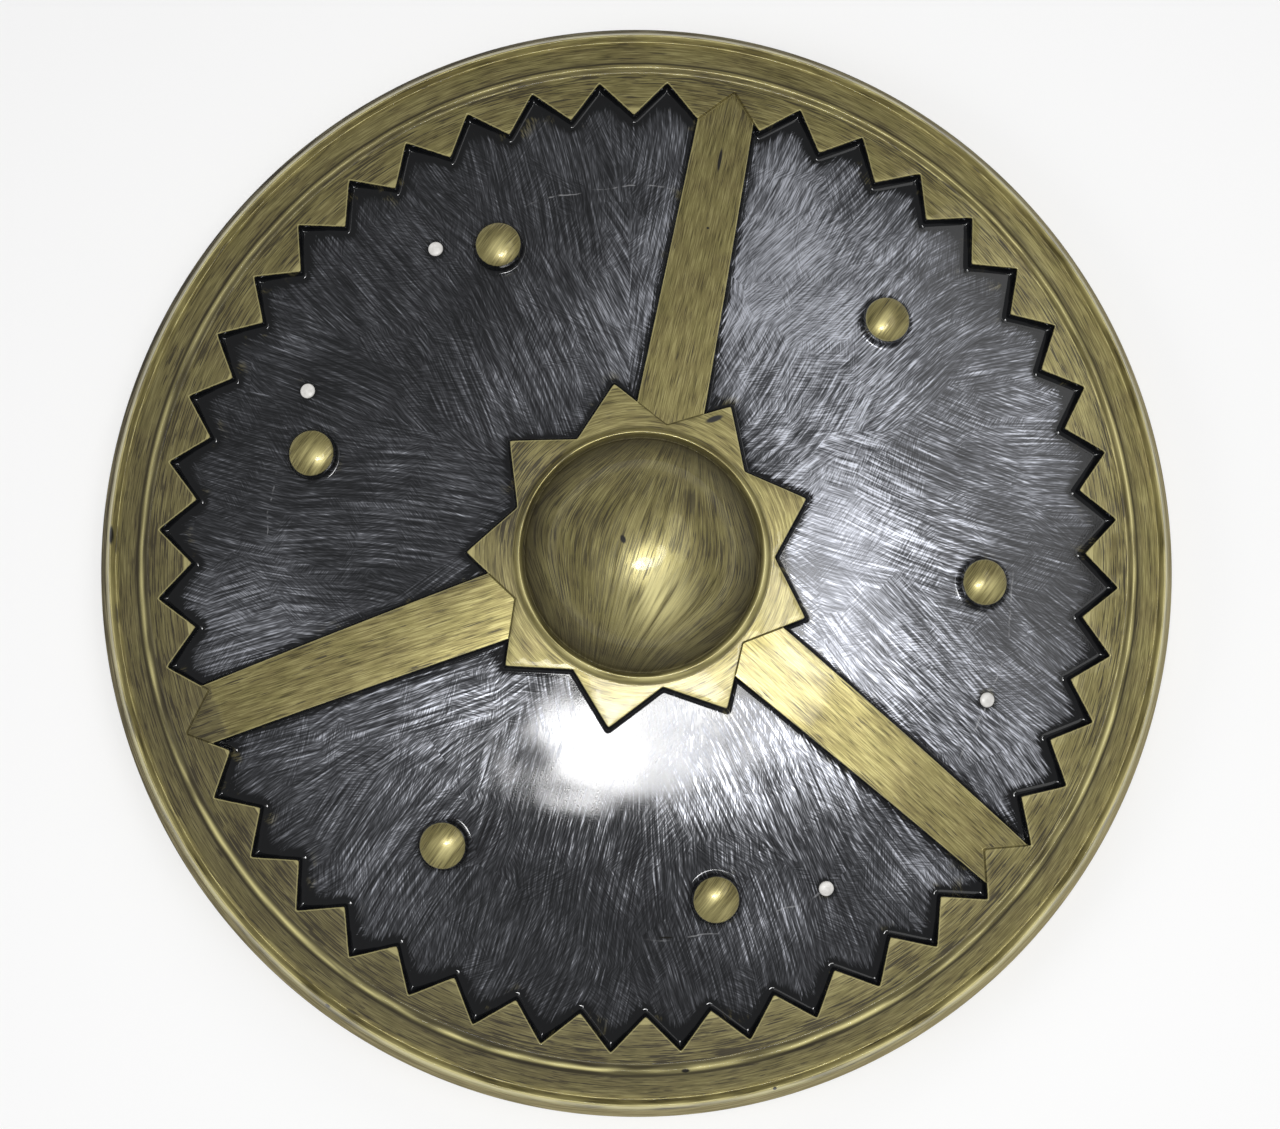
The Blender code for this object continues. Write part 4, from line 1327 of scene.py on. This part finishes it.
# %% [markdown]
# Two more things lie on the field. A parting line of the mould runs through the rivets and was
# rubbed light, and a little gold has gone past the edges of the raised parts.

# %% Painted sheet: line and stray gold
wobble = use(tree, mottle, Place=spot, Size=0.016, Low=0.2, High=0.8)[0]
wavy = calc(tree, "ADD", attribute(tree, "line_away"), scaled(tree, wobble, 3.0, -1.5))
away = calc(tree, "ABSOLUTE", wavy)
broken = use(tree, mottle, Place=spot, Size=0.005, Low=0.44, High=0.62)[0]
line = calc(tree, "MULTIPLY", remap(tree, away, 0.45, 0.15), attribute(tree, "line_shown"))
line = calc(tree, "MULTIPLY", line, calc(tree, "MULTIPLY", broken, 0.34))
field_colour = mix(tree, line, field_colour, screen(190, 190, 192))
stray = use(tree, mottle, Place=spot, Size=0.011, Low=0.60, High=0.72)[0]
beside = remap(tree, attribute(tree, "clear"), 5.0, 0.0)
thin = remap(tree, strokes, -0.05, 0.08)
stray = calc(tree, "MULTIPLY", calc(tree, "MULTIPLY", stray, beside), scaled(tree, thin, 0.4))
field_colour = mix(tree, stray, field_colour, screen(120, 112, 74))
print("line and stray gold ready")

# %% [markdown]
# Gold covers the raised tops up to a crisp edge. A dark wash was wiped over it and stays in fine
# scratches along the brush, more of them where the grime number is high, and in smooth pools at
# the feet of the beads, darker on the rim's lower left and the star's left. Round the boss's foot
# the pool is painted shade on the ball's steep sides as well as wash in the crease. The edges and the
# crests are rubbed bright again, and painted highlights lie on the crests' side towards the lamps,
# on the boss below its top and on each stud.

# %% Painted sheet: gold over black
GOLD = screen(148, 139, 88)
GOLD_WARM = screen(140, 129, 84)
# pale gold for the brush's light streaks and for the painted highlights
GOLD_PALE_AND_HIGHLIGHT = screen(214, 204, 142)
WASH_AND_SHADE = screen(42, 36, 24)
stroke = attribute(tree, "stroke", True)
hair = use(tree, streaks, Stroke=stroke, Width=0.00050, Length=0.0110, Detail=2.0, Seed=2.0)[0]
fine = use(tree, streaks, Stroke=stroke, Width=0.00064, Length=0.0170, Detail=2.0, Seed=6.0)[0]
broad = use(tree, streaks, Stroke=stroke, Width=0.0030, Length=0.0300, Detail=1.0, Seed=9.0)[0]
cloudy = use(tree, mottle, Place=spot, Size=0.012, Low=0.25, High=0.75)[0]
gold_colour = mix(tree, cloudy, GOLD, GOLD_WARM)
brushed = calc(tree, "ADD", hair, scaled(tree, broad, 0.4))
lighter = scaled(tree, remap(tree, brushed, 0.68, 0.92), 0.46)
gold_colour = mix(tree, lighter, gold_colour, GOLD_PALE_AND_HIGHLIGHT)
darker = scaled(tree, remap(tree, brushed, 0.70, 0.46), 0.66)
gold_colour = mix(tree, darker, gold_colour, WASH_AND_SHADE)
thickness = calc(tree, "ADD", attribute(tree, "grime"), scaled(tree, cloudy, 0.36, -0.18))
threshold = scaled(tree, thickness, 0.26, 0.29)
scratch = remap(tree, calc(tree, "SUBTRACT", fine, threshold), 0.030, -0.022)
gold_colour = mix(tree, scaled(tree, scratch, 0.84), gold_colour, WASH_AND_SHADE)
# pooled wash, and painted shade round the boss's foot
washed_and_shaded = attribute(tree, "pooled_wash_and_shade")
gold_colour = mix(tree, washed_and_shaded, gold_colour, WASH_AND_SHADE)
inside = attribute(tree, "gold")
edge_line = scaled(tree, remap(tree, inside, 0.60, 0.25), 0.40)
worn = scaled(tree, remap(tree, broad, 0.30, 0.62), 0.75, 0.10)
# rubbed edges and crest lines, with the painted highlights on the crests, the boss and the studs
rubbed = calc(tree, "MAXIMUM", edge_line, calc(tree, "MULTIPLY", attribute(tree, "crest"), worn))
gold_colour = mix(tree, rubbed, gold_colour, GOLD_PALE_AND_HIGHLIGHT)
chips = all_marks(tree, spot)
notches = use(tree, mottle, Place=spot, Size=0.0012, Low=0.2, High=0.8)[0]
gold = remap(tree, calc(tree, "ADD", inside, scaled(tree, notches, 0.18)), 0.0, 0.16)
print("gold ready")

# %% [markdown]
# Silver and gold paint are both mostly metallic, so they brighten towards the lamps. The bare black
# between them is glossy and mirrors the lamps sharply. The sheet isn't quite fair: a slow swell in
# the bump bends those mirror images, and a thin clear gloss on the gold adds the small highlights.

# %% Painted sheet: shader
colour = mix(tree, chips, mix(tree, gold, field_colour, gold_colour), screen(20, 18, 14))
tree.links.new(colour, shader.inputs["Base Color"])
clean = calc(tree, "SUBTRACT", 1.0, chips)
metal_field = scaled(tree, silver, 0.80)
dull = calc(tree, "MULTIPLY", scaled(tree, washed_and_shaded, -1.0, 1.0), scaled(tree, rubbed, -0.85, 1.0))
metal_gold = calc(tree, "MULTIPLY", scaled(tree, scratch, -0.40, 0.72), dull)
metal = place(tree, "ShaderNodeMix", {0: gold, 2: metal_field, 3: metal_gold}).outputs[0]
tree.links.new(calc(tree, "MULTIPLY", metal, clean), shader.inputs["Metallic"])
rough_field = scaled(tree, remap(tree, silver, 0.01, 0.32), 0.27, 0.08)
rough_gold = calc(tree, "ADD", scaled(tree, scratch, 0.08, 0.36), scaled(tree, washed_and_shaded, 0.45))
rough_gold = calc(tree, "ADD", rough_gold, scaled(tree, rubbed, 0.16))
rough = place(tree, "ShaderNodeMix", {0: gold, 2: rough_field, 3: rough_gold}).outputs[0]
tree.links.new(rough, shader.inputs["Roughness"])
gloss = calc(tree, "MULTIPLY", scaled(tree, gold, 0.35), scaled(tree, washed_and_shaded, -1.0, 1.0))
tree.links.new(gloss, shader.inputs["Coat Weight"])
shader.inputs["Coat Roughness"].default_value = 0.06
swell = use(tree, streaks, Stroke=spot, Width=0.034, Length=0.034, Detail=0.5, Seed=4.0)[0]
skin = use(tree, grain, Place=spot, Size=0.0007, Height=0.00002)[0]
bump_by(tree, shader, calc(tree, "ADD", skin, scaled(tree, swell, 0.0009)))
sheet.data.materials.append(painted)
print("painted sheet:", len(tree.nodes), "nodes")

# %% [markdown]
# ## Bare plastic behind
#
# Nobody paints the inside of a costume shield. It is the same black plastic with the mould's faint
# orange-peel skin, a few lighter scuffs and a soft sheen. The strips and faces behind the front's
# last triangle get this second material.

# %% Bare plastic


def two_tone(tree, shader, share, colours, roughness):
    """Colour and roughness that each go from a first value to a second one with a share."""
    tree.links.new(mix(tree, share, *colours), shader.inputs["Base Color"])
    tree.links.new(remap(tree, share, 0.0, 1.0, *roughness), shader.inputs["Roughness"])


bare, tree, shader, spot = new_material("bare_sheet")
scuffed = use(tree, mottle, Place=spot, Size=0.050, Low=0.45, High=0.75)[0]
two_tone(tree, shader, scuffed, (screen(26, 26, 28), screen(44, 44, 46)), (0.38, 0.52))
bump_by(tree, shader, use(tree, grain, Place=spot, Size=0.0016, Height=0.00006)[0])
sheet.data.materials.append(bare)
back = np.ones(len(sheet.data.polygons), np.int32)
back[:len(front_triangles)] = 0
sheet.data.polygons.foreach_set("material_index", back)
print(int(back.sum()), "faces of bare plastic")

# %% [markdown]
# The skirt under the outer bead is steep and stands on its edge, so it takes little gold. It gets a
# dull brown coat with thin streaks of gold drawn round it, and hardly any gloss. Painted light makes it
# lighter towards the lower right.

# %% Skirt
skirt_paint, tree, shader, spot = new_material("skirt_paint")
stroke = attribute(tree, "stroke", True)
smear = use(tree, streaks, Stroke=stroke, Width=0.0006, Length=0.0200, Seed=8.0)[0]
thin_gold = remap(tree, smear, 0.42, 0.66)
# share of light gold: thin streaks, and painted light towards the lower right from the crest attribute
share = calc(tree, "ADD", scaled(tree, thin_gold, 0.30), scaled(tree, attribute(tree, "crest"), 0.65))
tree.links.new(mix(tree, share, screen(44, 38, 27), screen(176, 164, 118)), shader.inputs["Base Color"])
tree.links.new(remap(tree, thin_gold, 0.0, 1.0, 0.80, 0.62), shader.inputs["Roughness"])
shader.inputs["Specular IOR Level"].default_value = 0.10
bump_by(tree, shader, use(tree, grain, Place=spot, Size=0.0009, Height=0.00004)[0])
sheet.data.materials.append(skirt_paint)
middle = np.hypot(*front_plan[front_triangles].mean(axis=1).T)
back[:len(front_triangles)] = np.where(middle > SKIRT_TOP, 2, 0)
sheet.data.polygons.foreach_set("material_index", back)
print(int((back == 2).sum()), "faces of skirt")

# %% [markdown]
# ## Rivet and strap plastic
#
# The rivets are off-white plastic, slightly uneven and satin. The straps are a softer black strip
# with a fine grain drawn out along their length, a little greyer where hands rub the raised line.

# %% Rivets and straps
rivet_plastic, tree, shader, spot = new_material("rivet_plastic")
cloud = use(tree, mottle, Place=spot, Size=0.0030, Low=0.3, High=0.7)[0]
two_tone(tree, shader, cloud, (screen(206, 204, 200), screen(228, 226, 222)), (0.30, 0.40))
bump_by(tree, shader, use(tree, grain, Place=spot, Size=0.0005, Height=0.00002)[0])

strap_plastic, tree, shader, spot = new_material("strap_plastic")
drawn = use(tree, streaks, Stroke=attribute(tree, "stroke", True), Width=0.0012, Length=0.012, Seed=5.0)[0]
rubbed = remap(tree, drawn, 0.45, 0.75)
two_tone(tree, shader, rubbed, (screen(28, 28, 30), screen(46, 46, 48)), (0.50, 0.62))
bump_by(tree, shader, use(tree, grain, Place=spot, Size=0.0009, Height=0.00008)[0])
print("materials:", ", ".join(sorted(material.name for material in bpy.data.materials)))

# %% [markdown]
# ## Put every piece on the frame
#
# The frame's single body carries all the pieces, and each piece stands for the solid of the same
# place. The floor is a plain pale plane for the picture alone.

# %% Ride on the frame
FLOOR_HALF = 3
FLOOR_DROP = 0.0004
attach(sheet, "root")
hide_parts("shield_shell")
plastic_pieces = (
    ("rivet_plastic", rivet_plastic, rivets),
    ("strap_plastic", strap_plastic, straps),
)
for slot, material, pieces in plastic_pieces:
    for name, piece in pieces:
        piece.data.materials.append(material)
        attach(piece, "root")
        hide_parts(name)

floor_mesh = bpy.data.meshes.new("floor")
signs = ((-1, -1), (1, -1), (1, 1), (-1, 1))
floor_corners = [(FLOOR_HALF * across, FLOOR_HALF * up, -FLOOR_DROP) for across, up in signs]
floor_mesh.from_pydata(floor_corners, [], [(0, 1, 2, 3)])
floor = bpy.data.objects.new("floor", floor_mesh)
bpy.context.scene.collection.objects.link(floor)
floor_paint, tree, shader, spot = new_material("floor_paint")
shader.inputs["Base Color"].default_value = (0.92, 0.92, 0.92, 1.0)
shader.inputs["Roughness"].default_value = 0.9
floor_mesh.materials.append(floor_paint)
print("pieces:", ", ".join(sorted([sheet.name] + [piece.name for _, piece in rivets + straps])))
